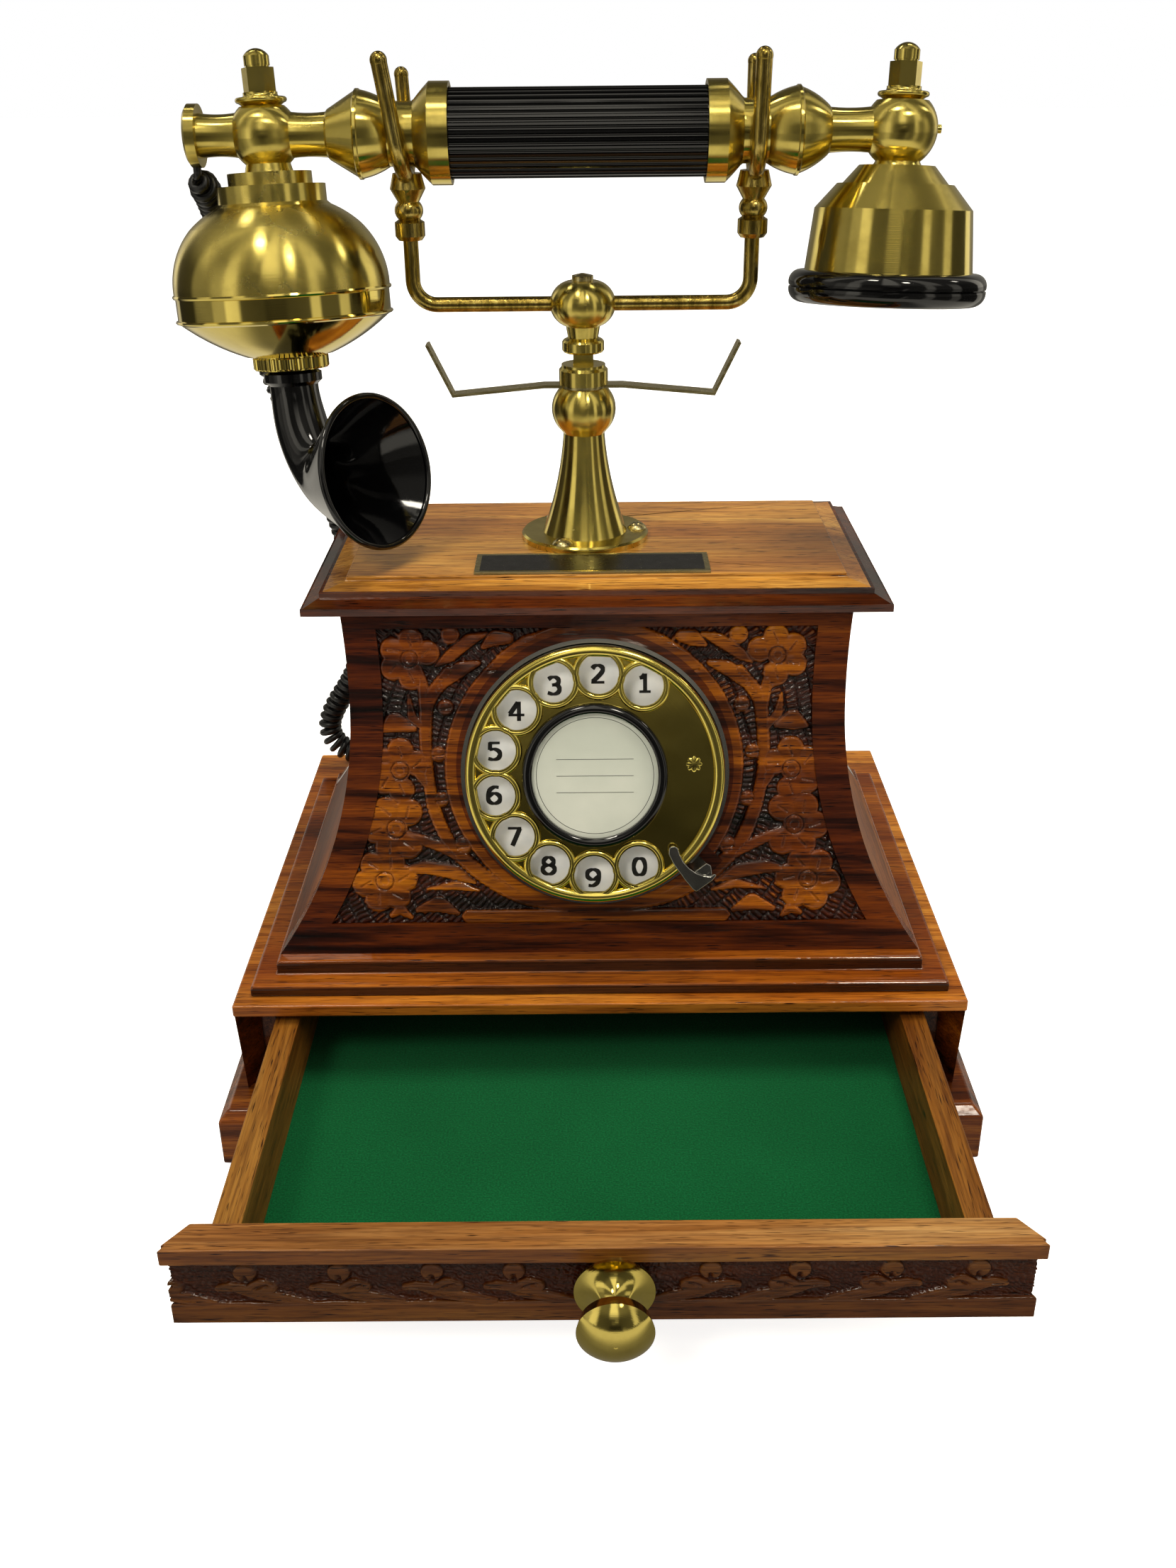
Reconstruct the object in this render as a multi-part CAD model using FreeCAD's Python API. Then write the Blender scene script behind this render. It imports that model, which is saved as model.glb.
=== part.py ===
import FreeCAD, Part
import math
import os
from FreeCAD import Placement, Rotation, Vector

# Wooden rotary telephone: a carved leaning dial panel on a drawer base, with a brass post,
# a sprung cradle and a loose handset. Millimetres, +X right, +Y back, +Z up.
# The origin is the centre of the base's underside.

# Base: felt underside, plinth, three walls and the lid board
felt_t = 1.0
plinth_w = 236.8
plinth_d = 196.2
plinth_top = 20.0
plinth_bevel = 3.0
lid_w = 225.0
lid_d = 177.9
lid_t = 4.1
lid_set_back = 11.2
base_wall_t = 10.0
base_wall_h = 28.6
base_wall_inset = 0.4
base_wall_taper = 0.9

# Drawer, pulled open as it stands at rest
drawer_open = 97.0
drawer_w = 200.0
drawer_len = 160.0
drawer_side_t = 7.5
drawer_side_h = 26.0
drawer_run_gap = 0.3
drawer_front_w = 223.4
drawer_front_h = 25.0
drawer_front_lift = 1.9
drawer_front_t = 10.0
drawer_lip_t = 5.0
drawer_lip_over = 2.2
drawer_side_over = 0.5
drawer_back_half = 105.6
mitre_gap = 0.9
band_foot = 4.6
band_depth = 1.4
band_island_r = 6.8
drawer_floor_t = 3.0
drawer_floor_lift = 3.6
drawer_felt_t = 0.9
knob_cone_r = 10.4
knob_x = 2.85
knob_neck_r = 3.4
knob_head_r = 9.8
knob_boss_r = 6.4
knob_foot_t = 0.8
knob_waist_z = 7.3
knob_head_z = 11.0
knob_rim_z = 14.2
knob_len = 18.8
knob_pin_r = 2.0
knob_washer_r = 3.6
knob_washer_t = 1.2

# Stepped skirt board under the upper body
step_low_in = 5.0
step_low_h = 3.6
step_high_in = 7.2
step_high_h = 4.4
step_back_in = 27.6
step_round = 0.7

# Upper body: waisted sides, leaning front, carved panel
panel_lean = 17.2
back_lean = 6.4
panel_ledge = 4.5
body_h = 103.6
body_foot_half = 99.6
waist_half = 75.3
waist_h = 71.6
neck_half = 77.8
board_t = 8.0
carve_depth = 1.6
carve_side = 10.0
carve_foot = 9.5
carve_head = 101.0
carve_island_r = 42.5

# Roof: moulded board and top board
roof_w = 150.2
roof_d = 76.7
roof_y = 2.1
roof_t = 2.6
roof_edge = 1.4
mould_in_high = 7.2
mould_in_low = 5.1
mould_edge_high = 1.5
mould_rise_low = 1.9
mould_edge_low = 2.2
mould_nib = 0.6

# Plain plate on the roof
plate_w = 71.0
plate_d = 17.6
plate_t = 0.8
plate_x = -1.2
plate_y = -27.1

# Dial
dial_x = -0.9
dial_up = 57.8
case_r = 29.0
case_wall = 1.5
case_depth = 28.0
dish_r = 40.4
dish_foot_r = 38.0
dish_h = 8.0
sheet_t = 1.2
number_plate_w = 7.2
number_plate_r = 37.4
number_plate_hole_r = 9.0
number_plate_t = 1.0
wheel_r = 38.9
wheel_w = 11.4
wheel_t = 1.3
wheel_rim_h = 2.6
hole_circle_r = 30.4
hole_r = 6.1
hole_rim_w = 1.0
hole_rim_h = 0.9
hole_count = 10
first_hole_deg = 61.5
hole_pitch_deg = 25.94
label_ring_r = 21.9
label_ring_in_r = 18.9
label_ring_h = 2.2
label_t = 0.8
shaft_r = 2.5
shaft_gap = 0.05
gear_module = 0.6
gear_teeth = 45
pinion_teeth = 15
gear_t = 2.0
gear_w = -8.0
arbor_r = 1.0
cam_r = 6.0
stop_deg = -43.5
stop_pad_r = 48.5
stop_pad_w = 12.0
stop_rise_r = 44.9
stop_w = 15.6
stop_t = 1.2
stop_strip_w = 4.3

# Post
post_x = -3.4
post_y = 2.1
flange_r = 20.2
flange_t = 2.2
cone_foot_r = 13.4
cone_h = 32.2
cone_top_r = 6.4
post_ball_r = 9.9
post_ball_h = 13.2
post_screw_pcd = 33.4
post_screw_count = 3
post_screw_r = 3.1
post_screw_core_r = 1.3
post_screw_len = 8.0
post_screw_dome = 1.9
nut_r = 7.5
nut_h = 5.9
strip_t = 0.9
strip_w = 6.0
strip_reach = 40.3
strip_drop = 2.6
strip_tip_rise = 13.0
strip_tip_run = 7.5

# Cradle: sprung square stem, turned collar, hub, arms and forks
stem_side = 6.1
stem_gap = 0.12
stem_foot_z = 152.0
stem_show = 3.6
cradle_ring_r = 6.4
cradle_ring_h = 3.7
cradle_neck_r = 5.2
cradle_neck_h = 4.0
hub_r = 9.9
hub_h = 12.9
hub_screw_r = 3.2
hub_screw_h = 2.4
arm_r = 2.2
arm_reach_left = 50.6
arm_reach_right = 50.1
arm_rise = 18.5
arm_bend_r = 7.0
fork_base_r = 4.4
fork_bead_r = 4.2
fork_knuckle_r = 5.2
fork_throat_h = 19.2
fork_prong_r = 2.3
fork_prong_back_r = 2.0
fork_tip_h = 48.5
fork_back_tip_left = 44.0
fork_back_tip_right = 46.6
fork_lean_left = 8.5
fork_back_lean_left = 3.0
fork_lean_right = 0.5
fork_seat_gap = 0.3

# Handset, lying in the forks with its bells tipped a little to the front
handset_tip = -6.0
handset_x = -4.2
grip_len = 75.4
grip_r = 12.1
flute_count = 36
flute_depth = 0.8
core_r = 5.0
ferrule_r = 13.8
ferrule_len = 9.3
ferrule_lip = 4.8
ferrule_lap = 1.2
neck_r = 8.7
neck_len = 7.2
bulb_r = 12.1
bulb_len = 17.8
bulb_ridge = 8.5
tube_r = 6.1
tee_r_left = 9.95
tee_r_right = 10.6
tee_nub_r = 1.2
tee_nub_h = 1.0
tee_foot_r = 7.0
tee_top = 7.6
tee_reach_left = 89.8
tee_reach_right = 92.2
bell_toe_left = 2.4
bell_toe_right = 1.9
end_tube_r = 6.0
end_tube_len = 10.6
end_flange_r = 8.5
end_flange_t = 3.6
finial_ring_r = 7.3
finial_ring_h = 3.6
finial_hex_af = 8.0
finial_hex_h = 6.4
finial_dome_r = 3.6
finial_dome_h = 5.0

# Transmitter bell and horn
collar_top = 9.9
collar_r = 12.1
collar_h = 3.5
collar_low_r = 15.7
collar_low_h = 4.7
dome_h = 24.0
dome_shoulder = ((16.7, 0.9), (21.1, 3.4), (24.7, 6.3), (29.3, 13.0))
dome_r = 31.6
bell_wall = 1.4
band_h = 7.9
bowl_h = 10.6
bowl_foot_r = 13.1
horn_nut_r = 10.9
horn_nut_h = 4.1
horn_bead_r = 8.7
horn_bead_h = 4.8
horn_tube_r = 7.3
horn_swell = 3.0
horn_wall = 1.3
horn_rim_r = 0.95
mouth_r = 22.7
mouth_at = (25.2, -19.4, -94.0)
mouth_axis = (0.80, -0.58, 0.14)

# Receiver bell
bell_top = 9.6
bell_cap_r = 10.9
bell_step_r = 15.3
bell_step_h = 5.0
bell_shoulder_r = 22.8
bell_shoulder_in_r = 16.8
bell_shoulder_h = 6.8
bell_foot_r = 24.5
bell_h = 28.9
ear_r = 28.8
ear_h = 9.2
capsule_r = 21.0
capsule_t = 9.0

# Handset cord: curly, so its solid is the outer tube of the curl
cord_r = 1.2
curl_r = 4.7

# Inside
ringer_x = 0.0
ringer_y = 20.0
gong_r = 19.0
gong_h = 11.0
gong_gap = 10.0
gong_wall = 1.2
gong_lift = 12.0
gong_post_r = 2.5
clapper_len = 24.0
clapper_ball_r = 3.0
clapper_pin_r = 1.2
coil_r = 5.0
coil_out = 9.5
board_w = 46.0
board_d = 30.0
jack_w = 16.0
jack_x = 45.0
grommet_x = -42.0
grommet_z = 84.0
grommet_r = 5.0
slack = 0.3

# Heights that follow from the stack
wall_foot = plinth_top
lid_under = wall_foot + base_wall_h
lid_top = lid_under + lid_t
skirt_mid = lid_top + step_low_h
body_foot = skirt_mid + step_high_h
roof_under = body_foot + body_h
mould_top = roof_under + mould_edge_low + mould_rise_low + mould_edge_high
roof_top = mould_top + roof_t
lid_front = -plinth_d / 2 + lid_set_back
lid_back = lid_front + lid_d
skirt_front = lid_front + step_low_in + step_high_in
skirt_back = lid_back - step_back_in - step_low_in
panel_front = skirt_front + panel_ledge
body_back = skirt_back - panel_ledge
drawer_face = lid_front - drawer_open
post_bore_r = stem_side * math.sqrt(0.5) + stem_gap

os.makedirs("parts", exist_ok=True)


def save(name, *solids):
    """Write one node as a STEP file holding its solids."""
    shape = solids[0] if len(solids) == 1 else Part.makeCompound(list(solids))
    if len(shape.Solids) == 1:
        shape = shape.Solids[0]
    shape.exportStep("parts/" + name + ".step")


def box(x0, x1, y0, y1, z0, z1):
    return Part.makeBox(x1 - x0, y1 - y0, z1 - z0, Vector(x0, y0, z0))


def rod(radius, start, end):
    start = Vector(*start)
    run = Vector(*end) - start
    return Part.makeCylinder(radius, run.Length, start, run)


def path_wire(points, closed=True):
    """A wire from (a, b) points; a four-number entry is an arc through (a, b) to (c, d)."""
    edges = []
    here = Vector(points[0][0], 0, points[0][1])
    first = here
    for entry in points[1:]:
        end = Vector(entry[-2], 0, entry[-1])
        if len(entry) == 4:
            edges.append(Part.Arc(here, Vector(entry[0], 0, entry[1]), end).toShape())
        else:
            edges.append(Part.makeLine(here, end))
        here = end
    if closed and (here - first).Length > 1e-6:
        edges.append(Part.makeLine(here, first))
    return Part.Wire(edges)


def turned(points, at=(0, 0, 0), along=(0, 0, 1)):
    """A solid turned about the line through at: points are (radius, distance along)."""
    solid = Part.Face(path_wire(points)).revolve(Vector(0, 0, 0), Vector(0, 0, 1), 360)
    solid.Placement = Placement(Vector(*at), Rotation(Vector(0, 0, 1), Vector(*along)))
    return solid


def dome_to_axis(radius, z, height):
    """The arc entry of a round cap that rises by height from radius at z to the axis."""
    sphere_r = (radius ** 2 + height ** 2) / (2 * height)
    half_turn = math.asin(radius / sphere_r) / 2
    centre = z + height - sphere_r
    return (sphere_r * math.sin(half_turn), centre + sphere_r * math.cos(half_turn), 0, z + height)


def extruded(points, depth, placement):
    """A flat outline in the local XZ plane, pushed along local +Y and then placed."""
    solid = Part.Face(path_wire(points)).extrude(Vector(0, depth, 0))
    solid.Placement = placement
    return solid


def slab(half_w, front, back, z0, z1):
    return box(-half_w, half_w, front, back, z0, z1)


def frustum(low, high, z0, z1):
    """A block whose lower and upper rectangles are (half width, front, back)."""
    wires = []
    for (half, front, back), z in ((low, z0), (high, z1)):
        corners = [(-half, front), (half, front), (half, back), (-half, back)]
        points = [Vector(x, y, z) for x, y in corners]
        wires.append(Part.makePolygon(points + [points[0]]))
    return Part.makeLoft(wires, True, True)


def ring_of(radius, hole_radius, z0, z1):
    return turned([(hole_radius, z0), (radius, z0), (radius, z1), (hole_radius, z1)])


# Plinth board with a bevelled top edge, on its felt
plinth = slab(plinth_w / 2, -plinth_d / 2, plinth_d / 2, felt_t, plinth_top - plinth_bevel)
bevel_low = (plinth_w / 2, -plinth_d / 2, plinth_d / 2)
bevel_high = tuple(v - math.copysign(plinth_bevel, v) for v in bevel_low)
plinth = plinth.fuse(frustum(bevel_low, bevel_high, plinth_top - plinth_bevel, plinth_top))
save("base_plinth", plinth.removeSplitter())
save("base_felt", slab(plinth_w / 2 - plinth_bevel, -plinth_d / 2 + plinth_bevel,
                       plinth_d / 2 - plinth_bevel, 0, felt_t))

# Base walls, mitred at the front to take the drawer front
wall_out = lid_w / 2 - base_wall_inset
wall_back = lid_back - base_wall_inset
side_profile = [(wall_out - base_wall_t, wall_foot), (wall_out - base_wall_taper, wall_foot),
                (wall_out, lid_under), (wall_out - base_wall_t, lid_under)]
side_len = wall_back - lid_front
side = extruded(side_profile, side_len, Placement(Vector(0, lid_front, 0), Rotation()))
mitre_back = lid_front + drawer_front_t + mitre_gap
mitre = [Vector(wall_out - base_wall_t - 1, lid_front - 1, wall_foot - 1),
         Vector(wall_out + 1, lid_front - 1, wall_foot - 1),
         Vector(drawer_front_w / 2 + mitre_gap, lid_front, wall_foot - 1),
         Vector(drawer_back_half + mitre_gap, lid_front + drawer_front_t, wall_foot - 1),
         Vector(drawer_back_half + mitre_gap, mitre_back, wall_foot - 1),
         Vector(wall_out - base_wall_t - 1, mitre_back, wall_foot - 1)]
mitre_cut = Part.Face(Part.makePolygon(mitre + [mitre[0]])).extrude(Vector(0, 0, base_wall_h + 2))
side = side.cut(mitre_cut)
save("base_sides", side, side.mirror(Vector(0, 0, 0), Vector(1, 0, 0)))
inner_half = wall_out - base_wall_t
save("base_back", slab(inner_half, wall_back - base_wall_t, wall_back, wall_foot, lid_under))
save("lid_board", slab(lid_w / 2, lid_front, lid_back, lid_under, lid_top))

# Skirt board: two steps with rounded top edges
low_half = lid_w / 2 - step_low_in
low_front = lid_front + step_low_in
low_back = lid_back - step_back_in
skirt_half = low_half - step_high_in
low_step = slab(low_half, low_front, low_back, lid_top, skirt_mid - step_round)
low_rect = (low_half, low_front, low_back)
low_rect_in = (low_half - step_round, low_front + step_round, low_back - step_round)
low_step = low_step.fuse(frustum(low_rect, low_rect_in, skirt_mid - step_round, skirt_mid))
high_rect = (skirt_half, skirt_front, skirt_back)
high_rect_in = (skirt_half - step_round, skirt_front + step_round, skirt_back - step_round)
high_step = slab(*high_rect, skirt_mid, body_foot - step_round)
high_step = high_step.fuse(frustum(high_rect, high_rect_in, body_foot - step_round, body_foot))
save("skirt_board", low_step.fuse(high_step).removeSplitter())

# Drawer: front with a lip above and below, sides, back, floor and felt
front_z0 = plinth_top + drawer_front_lift
front_z1 = front_z0 + drawer_front_h
front_half = drawer_front_w / 2
band_half = front_half - drawer_side_over
board_outline = [(-band_half, drawer_lip_over), (band_half, drawer_lip_over),
                 (drawer_back_half, drawer_front_t), (-drawer_back_half, drawer_front_t)]
lip_outline = [(-front_half, 0), (front_half, 0), (drawer_back_half, drawer_front_t),
               (-drawer_back_half, drawer_front_t)]


def flat_prism(outline, z0, z1, y_shift):
    points = [Vector(x, y + y_shift, z0) for x, y in outline]
    return Part.Face(Part.makePolygon(points + [points[0]])).extrude(Vector(0, 0, z1 - z0))


drawer_front = flat_prism(board_outline, front_z0, front_z1, drawer_face)
drawer_front = drawer_front.fuse(flat_prism(lip_outline, front_z1 - drawer_lip_t, front_z1, drawer_face))
knob_z = front_z0 + (drawer_front_h - drawer_lip_t) / 2 + 1.0
band_face = drawer_face + drawer_lip_over
band = box(-front_half, front_half, band_face, band_face + band_depth,
           front_z0 + band_foot, front_z1 - drawer_lip_t)
band = band.cut(rod(band_island_r, (knob_x, drawer_face, knob_z),
                    (knob_x, drawer_face + drawer_front_t, knob_z)))
drawer_front = drawer_front.cut(band).cut(rod(knob_pin_r, (knob_x, drawer_face - 1, knob_z),
                                              (knob_x, drawer_face + drawer_front_t + 1, knob_z)))
save("drawer_front", drawer_front.removeSplitter())
run_z = plinth_top + drawer_run_gap
tray_front = drawer_face + drawer_front_t
tray_back = drawer_face + drawer_len
tray_top = run_z + drawer_side_h
drawer_half = drawer_w / 2
tray_side = box(drawer_half - drawer_side_t, drawer_half, tray_front, tray_back, run_z, tray_top)
save("drawer_sides", tray_side, tray_side.mirror(Vector(0, 0, 0), Vector(1, 0, 0)))
tray_in = drawer_half - drawer_side_t
save("drawer_back", slab(tray_in, tray_back - drawer_side_t, tray_back, run_z, tray_top))
floor_z = run_z + drawer_floor_lift
save("drawer_floor", slab(tray_in, tray_front, tray_back - drawer_side_t, floor_z,
                          floor_z + drawer_floor_t))
felt_z = floor_z + drawer_floor_t
save("drawer_felt", slab(tray_in, tray_front, tray_back - drawer_side_t, felt_z, felt_z + drawer_felt_t))

# Drawer knob: flared foot, neck and mushroom head, with its fixing pin and washer behind
washer_z = drawer_front_t + knob_washer_t
knob_profile = [(0, -washer_z), (knob_washer_r, -washer_z), (knob_washer_r, -drawer_front_t),
                (knob_pin_r, -drawer_front_t), (knob_pin_r, -drawer_lip_over),
                (knob_boss_r, -drawer_lip_over), (knob_boss_r, 0), (knob_cone_r, 0), (knob_cone_r, knob_foot_t),
                (1.5 * knob_neck_r, knob_waist_z / 2, knob_neck_r, knob_waist_z),
                (knob_neck_r, knob_head_z - 0.6),
                (knob_head_r - 0.8, knob_head_z), (knob_head_r, knob_rim_z),
                dome_to_axis(knob_head_r, knob_rim_z, knob_len - knob_rim_z)]
save("drawer_knob", turned(knob_profile, (knob_x, drawer_face, knob_z), (0, -1, 0)))


# Upper body: the waisted outline, the leaning front and back planes
def waisted_outline(inset):
    """The body's section at right angles to Y, drawn in by inset at each side."""
    low_r = (waist_h ** 2 + (body_foot_half - waist_half) ** 2) / (2 * (body_foot_half - waist_half))
    high = body_h - waist_h
    high_r = (high ** 2 + (neck_half - waist_half) ** 2) / (2 * (neck_half - waist_half))

    def half_at(height):
        radius = low_r if height < waist_h else high_r
        return waist_half + radius - math.sqrt(radius ** 2 - (height - waist_h) ** 2) - inset

    rows = [0, waist_h / 2, waist_h, waist_h + high / 2, body_h]
    right = [(half_at(h), body_foot + h) for h in rows]
    left = [(-x, z) for x, z in right]
    return [left[0], right[0], right[1] + right[2], right[3] + right[4], left[4],
            left[3] + left[2], left[1] + left[0]]


def waisted_block(inset):
    start = lid_front - 20
    return extruded(waisted_outline(inset), lid_d, Placement(Vector(0, start, 0), Rotation()))


panel_frame = Placement(Vector(0, panel_front, body_foot), Rotation(Vector(1, 0, 0), -panel_lean))
back_frame = Placement(Vector(0, body_back, body_foot), Rotation(Vector(1, 0, 0), back_lean))


def in_panel(shape):
    shape.Placement = panel_frame.multiply(shape.Placement)
    return shape


tall = 140.0
wide = 130.0
front_slab = in_panel(box(-wide, wide, 0, board_t, -40, tall))
back_slab = box(-wide, wide, -board_t, 0, -40, tall)
back_slab.Placement = back_frame
before_front = in_panel(box(-wide, wide, -tall, board_t, -90, tall))
behind_back = box(-wide, wide, -board_t, tall, -90, tall)
behind_back.Placement = back_frame

dial_frame = panel_frame.multiply(Placement(Vector(dial_x, 0, dial_up), Rotation(Vector(1, 0, 0), 90)))


def in_dial(shape):
    """Place a shape drawn about +Z so that +Z is the dial's axis, out of the panel."""
    shape.Placement = dial_frame.multiply(shape.Placement)
    return shape


carve_top = min(carve_head, body_h / math.cos(math.radians(panel_lean)) - carve_side / 2)
field = waisted_block(carve_side).common(in_panel(box(-wide, wide, 0, carve_depth, carve_foot, carve_top)))
field = field.cut(in_dial(Part.makeCylinder(carve_island_r, 2 * board_t, Vector(0, 0, -board_t))))
stop_turn = Rotation(Vector(0, 0, 1), stop_deg)
stop_pad = box(0, stop_pad_r, -stop_pad_w / 2, stop_pad_w / 2, -board_t, board_t)
stop_pad.Placement = Placement(Vector(0, 0, 0), stop_turn)
field = field.cut(in_dial(stop_pad))
front_panel = waisted_block(0).common(front_slab).cut(field)
case_hole = Part.makeCylinder(case_r + slack, 3 * board_t, Vector(0, 0, -2 * board_t))
front_panel = front_panel.cut(in_dial(case_hole))
save("front_panel", front_panel)

sides = waisted_block(0).cut(waisted_block(board_t)).cut(before_front).cut(behind_back)
save("body_sides", *sides.Solids)

# Back board, with the cord's grommet and the line socket let into it
grommet_up = (grommet_z - body_foot) / math.cos(math.radians(back_lean))
back_board = waisted_block(0).common(back_slab)


def in_back(shape):
    shape.Placement = back_frame.multiply(shape.Placement)
    return shape


grommet_bore = cord_r + slack
grommet_neck_r = grommet_r - 1.6
back_board = back_board.cut(in_back(rod(grommet_neck_r, (grommet_x, -2 * board_t, grommet_up),
                                        (grommet_x, board_t, grommet_up))))
jack_up = 14.0
jack_h = 12.0
jack_deep = 14.0
jack_flange = 1.5
jack_block = box(jack_x, jack_x + jack_w, -jack_deep, 0, jack_up, jack_up + jack_h)
back_board = back_board.cut(in_back(jack_block.copy()))
save("body_back", back_board)
jack_rim = box(jack_x - 2, jack_x + jack_w + 2, 0, jack_flange, jack_up - 2, jack_up + jack_h + 2)
jack_socket = box(jack_x + 3, jack_x + jack_w - 3, -jack_deep + 2, jack_flange,
                  jack_up + 2.5, jack_up + jack_h - 2.5)
save("line_jack", in_back(jack_block.fuse(jack_rim).cut(jack_socket).removeSplitter()))
grommet_profile = [(grommet_bore, -board_t - 1.5), (grommet_r, -board_t - 1.5), (grommet_r, -board_t),
                   (grommet_neck_r, -board_t), (grommet_neck_r, 0), (grommet_r, 0),
                   (grommet_r - 1.0, 2.5), (grommet_bore, 2.5)]
grommet = turned(grommet_profile, (grommet_x, 0, grommet_up), (0, 1, 0))
save("cord_grommet", in_back(grommet))

# Roof: moulded board in two steps, then the top board with its bevelled edge
high_half = roof_w / 2 + mould_in_high
low_roof_half = high_half + mould_in_low


def roof_rect(half):
    grow = half - roof_w / 2
    return (half, roof_y - roof_d / 2 - grow, roof_y + roof_d / 2 + grow)


z_a = roof_under + mould_edge_low
z_b = z_a + mould_rise_low
moulding = slab(*roof_rect(low_roof_half), roof_under, z_a)
moulding = moulding.fuse(frustum(roof_rect(low_roof_half - mould_nib), roof_rect(high_half), z_a, z_b))
moulding = moulding.fuse(slab(*roof_rect(high_half), z_b, mould_top))
top_board = frustum(roof_rect(high_half - mould_nib), roof_rect(roof_w / 2), mould_top, roof_top - roof_edge)
top_board = top_board.fuse(slab(*roof_rect(roof_w / 2), roof_top - roof_edge, roof_top))
stem_hole = rod(post_bore_r + slack, (post_x, post_y, roof_under - 1), (post_x, post_y, roof_top + 1))
save("name_plate", box(plate_x - plate_w / 2, plate_x + plate_w / 2, plate_y - plate_d / 2,
                       plate_y + plate_d / 2, roof_top, roof_top + plate_t))

# Dial case behind the panel: a cup with a bearing bar across its open back
case_front = number_plate_w - case_wall
cup = turned([(shaft_r + shaft_gap, case_front), (case_r - case_wall, case_front),
              (case_r - case_wall, -case_depth), (case_r, -case_depth), (case_r, number_plate_w),
              (shaft_r + shaft_gap, number_plate_w)])
gear_centres = gear_module * (gear_teeth + pinion_teeth) / 2
bar = box(-5, 5, -case_r + 0.5, case_r - 0.5, -case_depth, -case_depth + 2)
cup = cup.fuse(bar.common(Part.makeCylinder(case_r - 0.5, 4, Vector(0, 0, -case_depth))))
cup = cup.cut(rod(shaft_r + shaft_gap, (0, 0, -case_depth - 1), (0, 0, -case_depth + 3)))
for z0, z1 in ((-case_depth - 1, -case_depth + 3), (case_front - 1, number_plate_w + 1)):
    cup = cup.cut(rod(arbor_r + shaft_gap, (0, gear_centres, z0), (0, gear_centres, z1)))
save("dial_case", in_dial(cup))

# Nickel dish, number plate and the brass finger wheel
dish = turned([(case_r + slack, 0), (dish_foot_r, 0), (dish_r, dish_h - 1.0), (dish_r, dish_h),
               (dish_r - sheet_t, dish_h), (dish_foot_r - 0.4 * sheet_t, sheet_t), (case_r + slack, sheet_t)])
save("dial_dish", in_dial(dish))
save("number_plate", in_dial(ring_of(number_plate_r, number_plate_hole_r, number_plate_w,
                                     number_plate_w + number_plate_t)))
wheel_top = wheel_w + wheel_t
hub_r_in = 8.0
wheel = turned([(0, wheel_w - 2.0), (hub_r_in, wheel_w - 2.0), (hub_r_in, wheel_w), (wheel_r - 1.4, wheel_w),
                (wheel_r - 1.4, wheel_top - wheel_rim_h), (wheel_r, wheel_top - wheel_rim_h),
                (wheel_r, wheel_top - 0.9), (wheel_r - 0.3, wheel_top - 0.2, wheel_r - 1.2, wheel_top),
                (label_ring_r, wheel_top), (0, wheel_top)])
hole_angles = [math.radians(first_hole_deg + hole_pitch_deg * i) for i in range(hole_count)]
for angle in hole_angles:
    x = hole_circle_r * math.cos(angle)
    y = hole_circle_r * math.sin(angle)
    rim = Part.makeCylinder(hole_r + hole_rim_w, hole_rim_h, Vector(x, y, wheel_top))
    wheel = wheel.fuse(rim)
    wheel = wheel.cut(Part.makeCylinder(hole_r, 3 * wheel_t + hole_rim_h, Vector(x, y, wheel_w - 1)))
save("finger_wheel", in_dial(wheel.removeSplitter()))
label_w = wheel_top
label_top = label_w + label_ring_h
save("label_ring", in_dial(turned([(label_ring_in_r, label_w), (label_ring_r, label_w),
                                   (label_ring_r, label_w + 0.8),
                                   (label_ring_r - 0.6, label_top, label_ring_in_r, label_top)])))
save("label_card", in_dial(Part.makeCylinder(label_ring_in_r - shaft_gap, label_t, Vector(0, 0, label_w))))


# Dial works: shaft and main gear turn with the wheel, the pinion and pulse cam follow
def gear_blank(teeth, thickness, z0, phase_deg):
    """A spur gear outline with straight flanks, a tooth centred at phase_deg."""
    pitch_r = gear_module * teeth / 2
    tip_r = pitch_r + 0.8 * gear_module
    root_r = pitch_r - gear_module
    step = 360.0 / teeth
    points = []
    for i in range(teeth):
        centre = phase_deg + i * step
        for radius, share in ((root_r, -0.30), (tip_r, -0.11), (tip_r, 0.11), (root_r, 0.30)):
            angle = math.radians(centre + share * step)
            points.append(Vector(radius * math.cos(angle), radius * math.sin(angle), z0))
    return Part.Face(Part.makePolygon(points + [points[0]])).extrude(Vector(0, 0, thickness))


shaft_foot = -case_depth + 0.4
shaft = Part.makeCylinder(shaft_r, wheel_w - 2.0 - shaft_foot, Vector(0, 0, shaft_foot))
save("dial_shaft", in_dial(shaft))
main_gear = gear_blank(gear_teeth, gear_t, gear_w, 90.0)
save("dial_gear", in_dial(main_gear.cut(Part.makeCylinder(shaft_r, gear_t, Vector(0, 0, gear_w)))))
pinion = gear_blank(pinion_teeth, gear_t, gear_w, -90.0 + 180.0 / pinion_teeth)
arbor = Part.makeCylinder(arbor_r, number_plate_w + case_depth - 0.8, Vector(0, 0, -case_depth + 0.4))
cam = Part.makeCylinder(cam_r, 1.5, Vector(0, 0, gear_w - 6.0))
cam = cam.cut(box(cam_r - 2.0, cam_r, -1.5, 1.5, gear_w - 7.0, gear_w))
pinion = pinion.fuse(arbor).fuse(cam)
pinion.translate(Vector(0, gear_centres, 0))
save("pulse_pinion", in_dial(pinion))

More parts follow.
